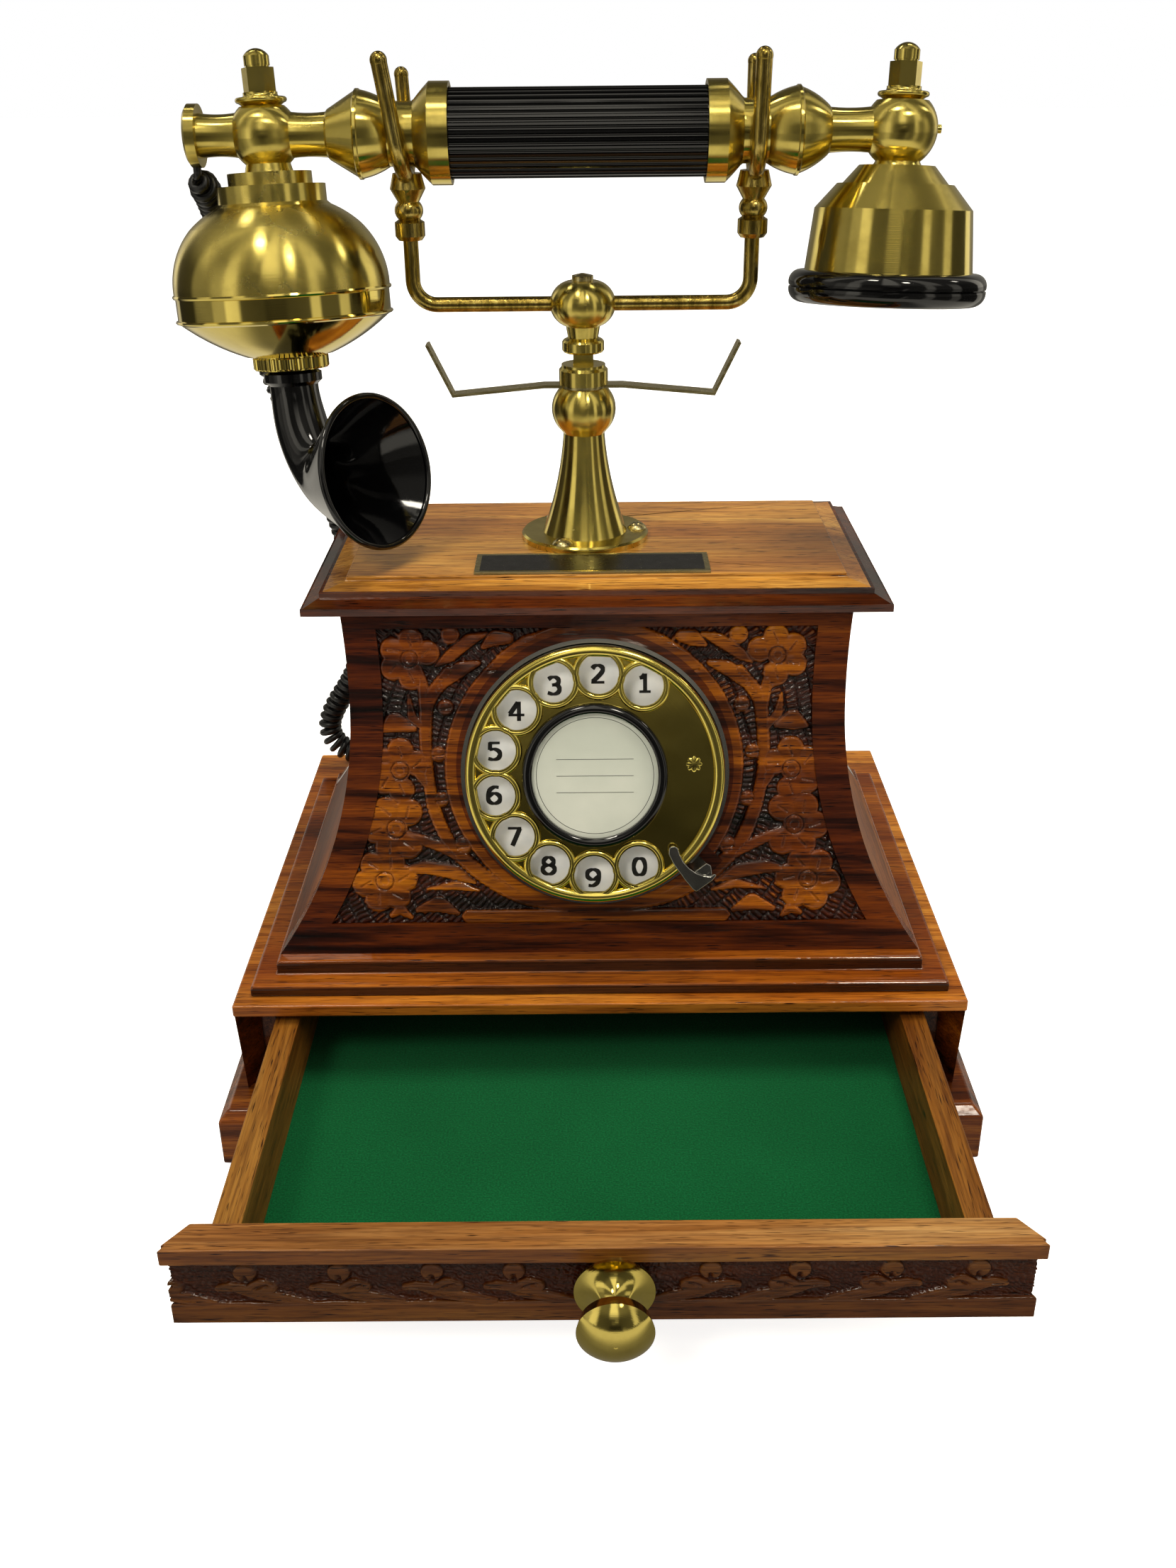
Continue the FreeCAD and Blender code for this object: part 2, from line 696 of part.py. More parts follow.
# Finger stop: a strip out from under the dish's rim, a riser, and a flat claw reaching in over the holes
claw_outline = [(22.0, 23.1), (21.9, 21.7, 23.3, 21.0), (24.3, 21.2, 24.6, 22.2), (26.2, 25.3, 29.6, 28.5),
                (32.0, 30.3, 34.5, 30.8), (35.9, 29.5), (29.6, 35.1)]
stop = extruded([(p[0], -p[1]) if len(p) == 2 else (p[0], -p[1], p[2], -p[3]) for p in claw_outline], stop_t,
                Placement(Vector(0, 0, stop_w), Rotation(Vector(1, 0, 0), -90)))
stop_end_r = stop_rise_r + stop_t
strip_half = stop_strip_w / 2
stop_strip = box(dish_foot_r + 2 * slack, stop_end_r, -strip_half, strip_half, 0, stop_t)
stop_riser = box(stop_rise_r, stop_end_r, -strip_half, strip_half, 0, stop_w - stop_t / 2)
stop_foot = stop_strip.fuse(stop_riser)
stop_foot.Placement = Placement(Vector(0, 0, 0), stop_turn)
save("finger_stop", in_dial(stop.fuse(stop_foot)))

# Post: flange, flared cone, flattened ball, all one turning with a bore for the stem
cone_top = flange_t + cone_h
ball_mid = cone_top + post_ball_h / 2
post_top = cone_top + post_ball_h
post_profile = [(post_bore_r, 0), (flange_r, 0), (flange_r, flange_t - 0.6), (flange_r - 0.6, flange_t),
                (cone_foot_r, flange_t),
                (cone_top_r + 2.2, flange_t + cone_h * 0.5, cone_top_r, cone_top - 1.0),
                (cone_top_r + 0.8, cone_top), (post_ball_r, ball_mid, nut_r - 0.6, post_top),
                (post_bore_r, post_top)]
post = turned(post_profile, (post_x, post_y, roof_top))
screws = []
for i in range(post_screw_count):
    angle = math.radians(-115 + 360 / post_screw_count * i)
    x = post_x + post_screw_pcd / 2 * math.cos(angle)
    y = post_y + post_screw_pcd / 2 * math.sin(angle)
    screw = turned([(0, -post_screw_len), (post_screw_core_r, 1.5 - post_screw_len),
                    (post_screw_core_r, flange_t), (post_screw_r, flange_t),
                    dome_to_axis(post_screw_r, flange_t, post_screw_dome)], (x, y, roof_top))
    slot_foot = roof_top + flange_t + 0.6 * post_screw_dome
    slot = box(x - post_screw_r, x + post_screw_r, y - 0.4, y + 0.4, slot_foot, slot_foot + post_screw_dome)
    slot.rotate(Vector(x, y, 0), Vector(0, 0, 1), 35 + 50 * i)
    screws.append(screw.cut(slot))
    hole = rod(post_screw_core_r, (x, y, roof_top - post_screw_len), (x, y, roof_top + flange_t + 1))
    post = post.cut(hole)
    top_board = top_board.cut(hole)
    moulding = moulding.cut(hole)
save("post_column", post)
save("post_screws", *screws)
save("roof_moulding", moulding.cut(stem_hole).removeSplitter())
save("roof_board", top_board.cut(stem_hole).removeSplitter())

# Flat brass strip under the post nut, turned up at both ends
strip_z = roof_top + post_top
tip_x = strip_reach + strip_tip_run
strip_path = [(-strip_reach * 0.3, 0), (strip_reach * 0.3, 0), (strip_reach, -strip_drop),
              (tip_x, strip_tip_rise), (tip_x - 0.9 * strip_t, strip_tip_rise + 0.4 * strip_t),
              (strip_reach - 0.5 * strip_t, strip_t - strip_drop), (strip_reach * 0.3, strip_t),
              (-strip_reach * 0.3, strip_t), (-strip_reach + 0.5 * strip_t, strip_t - strip_drop),
              (-tip_x + 0.9 * strip_t, strip_tip_rise + 0.4 * strip_t), (-tip_x, strip_tip_rise),
              (-strip_reach, -strip_drop)]
strip_at = Placement(Vector(post_x, post_y - strip_w / 2, strip_z), Rotation())
strip = extruded(strip_path, strip_w, strip_at)
strip = strip.fuse(Part.makeCylinder(nut_r - 0.4, strip_t, Vector(post_x, post_y, strip_z)))
strip = strip.cut(rod(post_bore_r, (post_x, post_y, strip_z - 1), (post_x, post_y, strip_z + 2)))
save("side_strip", strip.removeSplitter())
nut_z = strip_z + strip_t
nut = turned([(0, 0), (nut_r, 0), (nut_r, nut_h - 1.6), (nut_r - 0.8, nut_h - 0.8), (nut_r - 0.8, nut_h),
              (0, nut_h)], (post_x, post_y, nut_z))
stem_half = stem_side / 2
guide_half = stem_half + shaft_gap
guide = box(post_x - guide_half, post_x + guide_half, post_y - guide_half, post_y + guide_half,
            nut_z - 1, nut_z + nut_h + 1)
save("post_nut", nut.cut(guide))

# Cradle stem with its turned collar, then the hub and its screw
ring_z = nut_z + nut_h + stem_show
hub_z = ring_z + cradle_ring_h + cradle_neck_h
hub_mid = hub_z + hub_h / 2
stem = box(post_x - stem_half, post_x + stem_half, post_y - stem_half, post_y + stem_half,
           stem_foot_z, ring_z)
collar = turned([(0, 0), (cradle_ring_r - 0.5, 0), (cradle_ring_r, 0.6), (cradle_ring_r, cradle_ring_h - 0.6),
                 (cradle_ring_r - 0.5, cradle_ring_h), (cradle_neck_r - 0.6, cradle_ring_h + 0.6),
                 (cradle_neck_r, cradle_ring_h + cradle_neck_h), (0, cradle_ring_h + cradle_neck_h)],
                (post_x, post_y, ring_z))
save("cradle_stem", stem.fuse(collar))
hub = turned([(0, 0), (cradle_neck_r, 0), (hub_r, hub_h / 2, cradle_neck_r - 0.4, hub_h), (0, hub_h)],
             (post_x, post_y, hub_z))
arm_seat = 2.0
for sign in (-1, 1):
    start = post_x + sign * (hub_r - arm_seat)
    hub = hub.cut(rod(arm_r, (start, post_y, hub_mid), (start + sign * 2 * arm_seat, post_y, hub_mid)))
save("cradle_hub", hub)
hub_screw = turned([(0, 0), (hub_screw_r, 0), (hub_screw_r, hub_screw_h - 0.8), (0, hub_screw_h)],
                   (post_x, post_y, hub_z + hub_h))
screw_slot = box(post_x - 4, post_x + 4, post_y - 0.5, post_y + 0.5, hub_z + hub_h + 1.2, hub_z + hub_h + 3)
save("cradle_screw", hub_screw.cut(screw_slot))

# Cradle arms: round rod out of the hub, bent up to a fork at each end
arm_top = hub_mid + arm_rise


def arm(sign, reach):
    x0 = post_x + sign * (hub_r - arm_seat)
    x1 = post_x + sign * reach
    bend = arm_bend_r
    corner = math.sqrt(0.5)
    edges = [Part.makeLine(Vector(x0, post_y, hub_mid), Vector(x1 - sign * bend, post_y, hub_mid)),
             Part.Arc(Vector(x1 - sign * bend, post_y, hub_mid),
                      Vector(x1 - sign * bend * (1 - corner), post_y, hub_mid + bend * (1 - corner)),
                      Vector(x1, post_y, hub_mid + bend)).toShape(),
             Part.makeLine(Vector(x1, post_y, hub_mid + bend), Vector(x1, post_y, arm_top))]
    circle = Part.Wire(Part.makeCircle(arm_r, Vector(x0, post_y, hub_mid), Vector(sign, 0, 0)))
    return Part.Wire(edges).makePipeShell([circle], True, False)


save("cradle_arms", arm(-1, arm_reach_left), arm(1, arm_reach_right))


def prong(side, radius, tip_h, lean):
    """One prong from the bottom of the seat, round the handset's neck and up, at the front or the back."""
    half = neck_r + fork_seat_gap + radius
    low = fork_throat_h + 0.6 - radius
    mid_z = low + half
    tip_y = side * (half + 1.6)
    corner = half * math.sqrt(0.5)
    edges = [Part.Arc(Vector(0, 0, low), Vector(0, side * corner, mid_z - corner),
                      Vector(0, side * half, mid_z)).toShape(),
             Part.makeLine(Vector(0, side * half, mid_z), Vector(0, tip_y, tip_h))]
    circle = Part.Wire(Part.makeCircle(radius, Vector(0, 0, low), Vector(0, side, 0)))
    pipe = Part.Wire(edges).makePipeShell([circle], True, False)
    pipe = pipe.fuse(Part.makeSphere(radius + 0.1, Vector(0, tip_y, tip_h)))
    pipe.rotate(Vector(0, 0, low), Vector(0, 1, 0), lean)
    return pipe


def fork(sign, reach, front_lean, back_lean, back_tip_h):
    """A turned stub with beads, then two prongs that rise in front of and behind the handset."""
    knuckle_z = fork_throat_h - 5.0
    stub = turned([(0, 0), (fork_base_r * 0.8, 0), (fork_base_r, 1.2), (fork_base_r, 5.0),
                   (fork_bead_r * 0.75, 5.8),
                   (fork_bead_r, 8.2, fork_bead_r * 0.75, 10.6), (fork_knuckle_r, knuckle_z),
                   (fork_knuckle_r * 0.8, fork_throat_h - 0.8), (0, fork_throat_h - 0.8)])
    piece = stub.fuse(prong(-1, fork_prong_r, fork_tip_h, sign * front_lean))
    piece = piece.fuse(prong(1, fork_prong_back_r, back_tip_h, sign * back_lean))
    piece.translate(Vector(post_x + sign * reach, post_y, arm_top))
    return piece


save("cradle_forks", fork(-1, arm_reach_left, fork_lean_left, fork_back_lean_left, fork_back_tip_left),
     fork(1, arm_reach_right, fork_lean_right, fork_lean_right, fork_back_tip_right))

# Handset: everything is drawn about its own axis, then tipped and set in the forks
handset_z = arm_top + fork_throat_h + 0.6 + fork_seat_gap + neck_r
handset_frame = Placement(Vector(handset_x, post_y, handset_z), Rotation(Vector(1, 0, 0), handset_tip))


def in_handset(shape):
    shape.Placement = handset_frame.multiply(shape.Placement)
    return shape


def save_handset(name, *solids):
    save(name, *[in_handset(s) for s in solids])


half_grip = grip_len / 2
flute_step = 2 * math.pi / flute_count
flute_edges = []
land = 0.30 * flute_step
for i in range(flute_count):
    a0 = i * flute_step
    a1 = a0 + land
    a2 = a0 + flute_step
    p0, p1, p2 = (Vector(0, grip_r * math.cos(a), grip_r * math.sin(a)) for a in (a0, a1, a2))
    mid_a = (a1 + a2) / 2
    dip = grip_r - flute_depth
    flute_edges.append(Part.makeLine(p0, p1))
    flute_edges.append(Part.Arc(p1, Vector(0, dip * math.cos(mid_a), dip * math.sin(mid_a)), p2).toShape())
sleeve = Part.Face(Part.Wire(flute_edges)).extrude(Vector(grip_len, 0, 0))
sleeve.translate(Vector(-half_grip, 0, 0))
sleeve = sleeve.cut(rod(core_r, (-half_grip - 1, 0, 0), (half_grip + 1, 0, 0)))
save_handset("grip_sleeve", sleeve)


def ferrule_profile():
    return [(core_r, 0), (grip_r + 0.3, 0), (grip_r + 0.3, -ferrule_lap), (ferrule_r, -ferrule_lap),
            (ferrule_r, ferrule_lip - 0.3), (ferrule_r - 0.3, ferrule_lip),
            (neck_r + 2.2, ferrule_lip + 2.6, neck_r + 0.3, ferrule_len - 0.2), (neck_r + 0.3, ferrule_len),
            (core_r, ferrule_len)]


def both_ends(profile, start):
    """The same turning at the left and the right end, start from the middle."""
    return [turned(profile, (sign * start, 0, 0), (sign, 0, 0)) for sign in (-1, 1)]


save_handset("grip_ferrules", *both_ends(ferrule_profile(), half_grip))
spindle_start = half_grip + ferrule_len
ridge_at = neck_len + bulb_ridge
bulb_end = neck_len + bulb_len


def spindle(sign, reach, tee_r, swell):
    """Neck in the fork, ridged bulb and thin tube up to the tee; swell rounds the bulb's outer side."""
    end = reach - math.sqrt(tee_r ** 2 - tube_r ** 2) - spindle_start
    pin_r = core_r - 2 * shaft_gap
    pin_foot = slack - spindle_start
    cone_foot = tube_r + 0.7
    cone_mid = (bulb_r - 0.6 + cone_foot) / 2 + swell
    points = [(0, pin_foot), (pin_r, pin_foot), (pin_r, 0), (neck_r, 0), (neck_r, neck_len),
              (bulb_r - 1.3, ridge_at - 4.2, bulb_r - 0.3, ridge_at - 0.7), (bulb_r, ridge_at - 0.4),
              (bulb_r, ridge_at + 0.4), (bulb_r - 0.6, ridge_at + 0.8),
              (cone_mid, (ridge_at + bulb_end) / 2, cone_foot, bulb_end - 0.6), (tube_r, bulb_end),
              (tube_r - 0.3, (bulb_end + end) / 2, tube_r, end), (0, end)]
    return turned(points, (sign * spindle_start, 0, 0), (sign, 0, 0))


save_handset("spindles", spindle(-1, tee_reach_left, tee_r_left, 0.05),
             spindle(1, tee_reach_right, tee_r_right, 0.6))

# Bell frames: tee, finial and bell share an axis that toes in towards the middle
left_bell = Placement(Vector(-tee_reach_left, 0, 0), Rotation(Vector(0, 1, 0), -bell_toe_left))
right_bell = Placement(Vector(tee_reach_right, 0, 0), Rotation(Vector(0, 1, 0), bell_toe_right))


def in_bell(frame, shape):
    shape.Placement = frame.multiply(shape.Placement)
    return shape


def tee(sign, reach, tee_r, frame, foot_z):
    """Ball with a turned foot and a flat top, where the bell and the finial screw in."""
    x = sign * reach
    low = -math.sqrt(tee_r ** 2 - (tee_foot_r - 0.6) ** 2)
    top_flat = math.sqrt(tee_r ** 2 - tee_top ** 2)
    ball = turned([(0, foot_z), (tee_foot_r, foot_z), (tee_foot_r - 0.6, low), (tee_r, 0, top_flat, tee_top),
                   (0, tee_top)])
    inner = x - sign * math.sqrt(tee_r ** 2 - tube_r ** 2)
    return in_bell(frame, ball).cut(rod(tube_r + 0.2, (inner, 0, 0), (inner - sign * tee_r, 0, 0)))


outer_x = -tee_reach_left - math.sqrt(tee_r_left ** 2 - end_tube_r ** 2)
left_tee = tee(-1, tee_reach_left, tee_r_left, left_bell, -collar_top)
left_tee = left_tee.cut(rod(end_tube_r + 0.2, (outer_x, 0, 0), (outer_x - tee_r_left, 0, 0)))
nub_x = tee_reach_right + tee_r_right
right_tee = tee(1, tee_reach_right, tee_r_right, right_bell, -bell_top)
right_tee = right_tee.fuse(rod(tee_nub_r, (tee_reach_right, 0, 0), (nub_x + tee_nub_h, 0, 0)))
save_handset("tee_balls", left_tee, right_tee)
finials = []
hex_r = finial_hex_af / math.sqrt(3)
hex_z = tee_top + finial_ring_h
dome_z = hex_z + finial_hex_h
for frame in (left_bell, right_bell):
    cap = turned([(0, tee_top), (finial_ring_r - 2.0, tee_top), (finial_ring_r - 0.7, tee_top + 0.9),
                  (finial_ring_r, tee_top + 1.5, finial_ring_r - 0.4, tee_top + 2.3),
                  (finial_ring_r - 1.8, tee_top + 2.2, finial_ring_r - 2.4, hex_z), (0, hex_z)])
    corners = [Vector(hex_r * math.cos(math.radians(60 * k)), hex_r * math.sin(math.radians(60 * k)), hex_z)
               for k in range(6)]
    hexagon = Part.Face(Part.makePolygon(corners + [corners[0]])).extrude(Vector(0, 0, finial_hex_h))
    dome = turned([(0, dome_z), (finial_dome_r - 0.3, dome_z), (finial_dome_r - 0.3, dome_z + 0.5),
                   (finial_dome_r, dome_z + 0.5), (finial_dome_r, dome_z + finial_dome_h - 2.0),
                   dome_to_axis(finial_dome_r, dome_z + finial_dome_h - 2.0, 2.0)])
    finials.append(in_bell(frame, cap.fuse(hexagon).fuse(dome)))
save_handset("tee_finials", *finials)

# Left end: short tube and flange, bored from below where the cord comes out
flange_mid = -outer_x + end_tube_len + end_flange_t / 2
end_piece = turned([(0, 0), (end_tube_r, 0), (end_tube_r - 0.4, end_tube_len / 2, end_tube_r, end_tube_len),
                    (end_flange_r, end_tube_len), (end_flange_r, end_tube_len + end_flange_t - 0.8),
                    (end_flange_r - 1.2, end_tube_len + end_flange_t), (0, end_tube_len + end_flange_t)],
                   (outer_x, 0, 0), (-1, 0, 0))
cord_seat = end_flange_r - 3.0
cord_bore = rod(cord_r, (-flange_mid, 0, -cord_seat), (-flange_mid, 0, -end_flange_r - 2))
save_handset("cord_flange", end_piece.cut(cord_bore))

# Transmitter bell: two collars and a dome, then the banded bowl, hung under the left tee
z_collar = -collar_top
z_low = z_collar - collar_h
z_dome = z_low - collar_low_h
z_band = z_dome - dome_h
band_r = dome_r
top_rim, high, shoulder, low = [(r, z_dome - drop) for r, drop in dome_shoulder]
inner_wall = [(r - bell_wall, z) for r, z in ((dome_r, z_band), low, shoulder)]
dome_profile = [(0, z_collar), (collar_r, z_collar), (collar_r, z_low), (collar_low_r, z_low),
                (collar_low_r, z_dome), top_rim, high + shoulder, low + (dome_r, z_band)]
dome_profile = dome_profile + inner_wall + [(top_rim[0] - bell_wall, z_dome - 2 * bell_wall),
                                            (0, z_dome - 2 * bell_wall)]
save_handset("transmitter_dome", in_bell(left_bell, turned(dome_profile)))
z_bowl = z_band - band_h
z_nut = z_bowl - bowl_h
bowl_profile = [(0, z_nut + bell_wall), (bowl_foot_r, z_nut + bell_wall),
                (band_r - 7.0, z_bowl - 3.2 + bell_wall, band_r - bell_wall - 0.6, z_bowl + 1.0),
                (band_r - bell_wall - 0.6, z_band), (band_r + 0.3, z_band), (band_r + 0.5, z_band - 0.5),
                (band_r + 0.2, z_band - 1.0), (band_r - 0.3, z_band - 1.2), (band_r - 0.3, z_bowl + 1.0),
                (band_r + 0.2, z_bowl + 0.8), (band_r + 0.4, z_bowl + 0.4), (band_r + 0.1, z_bowl),
                (band_r - 1.0, z_bowl - 0.4), (band_r - 6.4, z_bowl - 4.4, bowl_foot_r, z_nut), (0, z_nut)]
save_handset("transmitter_bowl", in_bell(left_bell, turned(bowl_profile)))
z_horn = z_nut - horn_nut_h
nut_hole_r = horn_tube_r - 1
save_handset("horn_nut", in_bell(left_bell, ring_of(horn_nut_r, nut_hole_r, z_horn, z_nut)))

# Horn: a bead under the nut, then an elbow that opens into a flared mouth with a rounded rim
throat_z = z_horn - horn_bead_h
mouth_c = Vector(*mouth_at)
mouth_n = Vector(*mouth_axis)
mouth_n.normalize()
horn_spine = Part.BezierCurve()
horn_spine.setPoles([Vector(0, 0, throat_z), Vector(0, 0, throat_z - 14), Vector(5, -4, throat_z - 31),
                     mouth_c - mouth_n * 19, mouth_c])


def horn_ring(share, radius):
    """One circle of the horn at a share of the way along its spine."""
    ring = Part.Wire(Part.makeCircle(radius))
    ring.Placement = Placement(horn_spine.value(share),
                               Rotation(Vector(0, 0, -1), Vector(*horn_spine.tangent(share)[0])))
    return ring


def horn_radius(share):
    flare = max(0.0, (share - 0.45) / 0.55)
    return horn_tube_r + horn_swell * share + (mouth_r - horn_tube_r - horn_swell) * flare ** 1.8


shares = [0.0, 0.15, 0.3, 0.45, 0.6, 0.72, 0.83, 0.92, 1.0]
outer_horn = Part.makeLoft([horn_ring(s, horn_radius(s)) for s in shares], True, False)
inner_horn = Part.makeLoft([horn_ring(s, horn_radius(s) - horn_wall) for s in shares[2:]], True, False)
horn = outer_horn.cut(inner_horn)
bead = turned([(0, z_horn), (horn_nut_r - 4.5, z_horn), (horn_bead_r, z_horn - 1.2),
               (horn_bead_r, throat_z + 1.2), (horn_tube_r, throat_z), (0, throat_z)])
rim = Part.makeTorus(mouth_r - horn_wall / 2, horn_rim_r, mouth_c, mouth_n)
save_handset("mouth_horn", in_bell(left_bell, horn.fuse(bead).fuse(rim)))

# Receiver bell and its black ear cap, hung under the right tee
z0 = -bell_top
z1 = z0 - bell_step_h
z2 = z1 - bell_shoulder_h
z3 = -bell_top - bell_h
bell_profile = [(0, z0), (bell_cap_r, z0), (bell_step_r, z1), (bell_shoulder_in_r, z1), (bell_shoulder_r, z2),
                (bell_foot_r, z3), (bell_foot_r - bell_wall, z3), (bell_shoulder_r - bell_wall, z2 - 0.6),
                (bell_shoulder_in_r - bell_wall, z1 - bell_wall), (0, z1 - bell_wall)]
save_handset("receiver_bell", in_bell(right_bell, turned(bell_profile)))
z_ear = z3 - ear_h
ear_in_r = bell_foot_r - bell_wall - 1.5
ear_seam = z_ear + ear_h / 2
ear_profile = [(0, z_ear + 2.6), (12.0, z_ear + 2.0), (22.0, z_ear), (ear_r - 3.4, z_ear),
               (ear_r - 0.8, z_ear + 1.4, ear_r, ear_seam - 0.3), (ear_r - 0.4, ear_seam),
               (ear_r, ear_seam + 0.3), (ear_r - 0.7, z3 - 1.2, ear_r - 3.2, z3), (ear_in_r, z3),
               (ear_in_r, z_ear + 5.0), (0, z_ear + 5.0)]
ear_cap = turned(ear_profile)
hole_ring_r = 6.0
sound_hole_r = 1.3
for i in range(6):
    angle = math.radians(60 * i)
    x = hole_ring_r * math.cos(angle)
    y = hole_ring_r * math.sin(angle)
    ear_cap = ear_cap.cut(rod(sound_hole_r, (x, y, z_ear - 1), (x, y, z_ear + 6)))
save_handset("receiver_cap", in_bell(right_bell, ear_cap))
capsule_z = z_ear + 5.0
receiver_capsule = turned([(0, capsule_z), (capsule_r, capsule_z), (capsule_r, capsule_z + capsule_t - 2),
                           (capsule_r - 5, capsule_z + capsule_t), (0, capsule_z + capsule_t)])
mic_z = z_nut + bell_wall
mic_top = mic_z + capsule_t + 3
mic_r = bowl_foot_r + 4.0
transmitter_capsule = turned([(0, mic_z), (bowl_foot_r - 1.0, mic_z), (mic_r, mic_z + 5.4), (mic_r, mic_top),
                              (0, mic_top)])
save_handset("capsules", in_bell(right_bell, receiver_capsule), in_bell(left_bell, transmitter_capsule))

# Bell set on the skirt board: frame, two gongs and the clapper that swings between them
gong_offset = gong_gap / 2 + gong_r
frame_w = 2 * gong_offset + 12
ringer = box(ringer_x - frame_w / 2, ringer_x + frame_w / 2, ringer_y - 9, ringer_y + 9,
             body_foot, body_foot + 1.5)
gong_z = body_foot + gong_lift
gongs = []
yoke_y = ringer_y - 32
coil_z = body_foot + coil_r + 1.5
for sign in (-1, 1):
    x = ringer_x + sign * gong_offset
    ringer = ringer.fuse(rod(gong_post_r, (x, ringer_y, body_foot),
                             (x, ringer_y, gong_z + gong_h - gong_wall - slack)))
    gongs.append(turned([(0, gong_h), (gong_r * 0.45, gong_h - 0.8),
                         (gong_r - 2.0, gong_h * 0.5, gong_r, 0), (gong_r - gong_wall, 0),
                         (gong_r - 2.0 - gong_wall, gong_h * 0.5 - 0.4,
                          gong_r * 0.45 - 0.4, gong_h - 0.8 - gong_wall),
                         (0, gong_h - gong_wall)], (x, ringer_y, gong_z)))
    coil_x = ringer_x + sign * coil_out
    ringer = ringer.fuse(rod(coil_r, (coil_x, yoke_y, coil_z), (coil_x, ringer_y - 10, coil_z)))
yoke_top = gong_z
pivot_y = ringer_y - clapper_len + 4
ringer = ringer.fuse(box(ringer_x - 16, ringer_x + 16, yoke_y - 2, yoke_y, body_foot, yoke_top))
ringer = ringer.fuse(box(ringer_x - 16, ringer_x + 16, yoke_y - 2, ringer_y - 9, body_foot, body_foot + 1.5))
ringer = ringer.fuse(box(ringer_x - 3, ringer_x + 3, pivot_y - 3, pivot_y + 3, body_foot, yoke_top))
ringer = ringer.fuse(rod(clapper_pin_r, (ringer_x, pivot_y, yoke_top), (ringer_x, pivot_y, yoke_top + 3.5)))
save("ringer_frame", ringer.removeSplitter())
save("ringer_gongs", *gongs)
hammer_z = yoke_top + 1.6
clapper = box(ringer_x - 1, ringer_x + 1, pivot_y, pivot_y + clapper_len, hammer_z - 0.8, hammer_z + 0.8)
clapper = clapper.fuse(Part.makeCylinder(2.8, 1.6, Vector(ringer_x, pivot_y, hammer_z - 0.8)))
clapper = clapper.fuse(Part.makeSphere(clapper_ball_r, Vector(ringer_x, pivot_y + clapper_len, hammer_z)))
clapper = clapper.cut(rod(clapper_pin_r + shaft_gap, (ringer_x, pivot_y, yoke_top - 1),
                          (ringer_x, pivot_y, yoke_top + 4)))
save("clapper", clapper)

# Terminal board on spacers, with its parts soldered on
tb_x = -78.0
tb_y = -35.0
tb_z = body_foot + 5.0
terminal = box(tb_x, tb_x + board_w, tb_y, tb_y + board_d, tb_z, tb_z + 1.6)
for dx in (4.0, board_w - 4.0):
    for dy in (4.0, board_d - 4.0):
        x = tb_x + dx
        y = tb_y + dy
        terminal = terminal.fuse(rod(2.0, (x, y, body_foot), (x, y, tb_z + 3.0)))
terminal = terminal.fuse(rod(4.0, (tb_x + 14, tb_y + 15, tb_z + 1), (tb_x + 14, tb_y + 15, tb_z + 13)))
terminal = terminal.fuse(box(tb_x + 24, tb_x + 38, tb_y + 8, tb_y + 22, tb_z + 1, tb_z + 10))
save("terminal_board", terminal)

# Hook switch under the roof: a block of leaves with one leaf just under the stem
leaf_z = stem_foot_z - slack - 0.8
switch_x = post_x + 9.0
switch = box(switch_x, switch_x + 14, post_y - 6, post_y + 6, stem_foot_z - 6, roof_under)
switch = switch.fuse(box(post_x - 6, switch_x, post_y - 3, post_y + 3, leaf_z, leaf_z + 0.8))
switch = switch.fuse(box(post_x - 4, switch_x, post_y - 3, post_y + 3, leaf_z - 3.4, leaf_z - 2.6))
save("hook_switch", switch)

# Handset cord: a short tail, the curl as one tube of its outer size, and a tail into the grommet
cord_exit = handset_frame.multVec(Vector(-flange_mid, 0, -end_flange_r))
cord_plug = handset_frame.multVec(Vector(-flange_mid, 0, -cord_seat))
grommet_mouth = back_frame.multVec(Vector(grommet_x, 2.5, grommet_up))
grommet_deep = back_frame.multVec(Vector(grommet_x, -board_t, grommet_up))


def tube_along(radius, points, name):
    """Straight runs joined by arcs as large as the runs allow; prints each arc's radius."""
    radii = []
    edges = []
    here = points[0]
    for before, corner, after in zip(points, points[1:], points[2:]):
        into = corner - before
        out = after - corner
        cut = 0.45 * min(into.Length, out.Length)
        half_turn = into.getAngle(out) / 2
        radii.append(round(cut / math.tan(half_turn), 1))
        into.normalize()
        out.normalize()
        start = corner - into * cut
        end = corner + out * cut
        inward = out - into
        inward.normalize()
        bend = cut / math.tan(half_turn)
        middle = corner + inward * (bend / math.cos(half_turn) - bend)
        edges.append(Part.makeLine(here, start))
        edges.append(Part.Arc(start, middle, end).toShape())
        here = end
    edges.append(Part.makeLine(here, points[-1]))
    path = Part.Wire(edges)
    first = points[1] - points[0]
    tube = path.makePipeShell([Part.Wire(Part.makeCircle(radius, points[0], first))], True, False)
    print(name, "radii", radii, "length", round(path.Length, 1),
          "volume share", round(tube.Volume / (math.pi * radius ** 2 * path.Length), 3))
    return tube


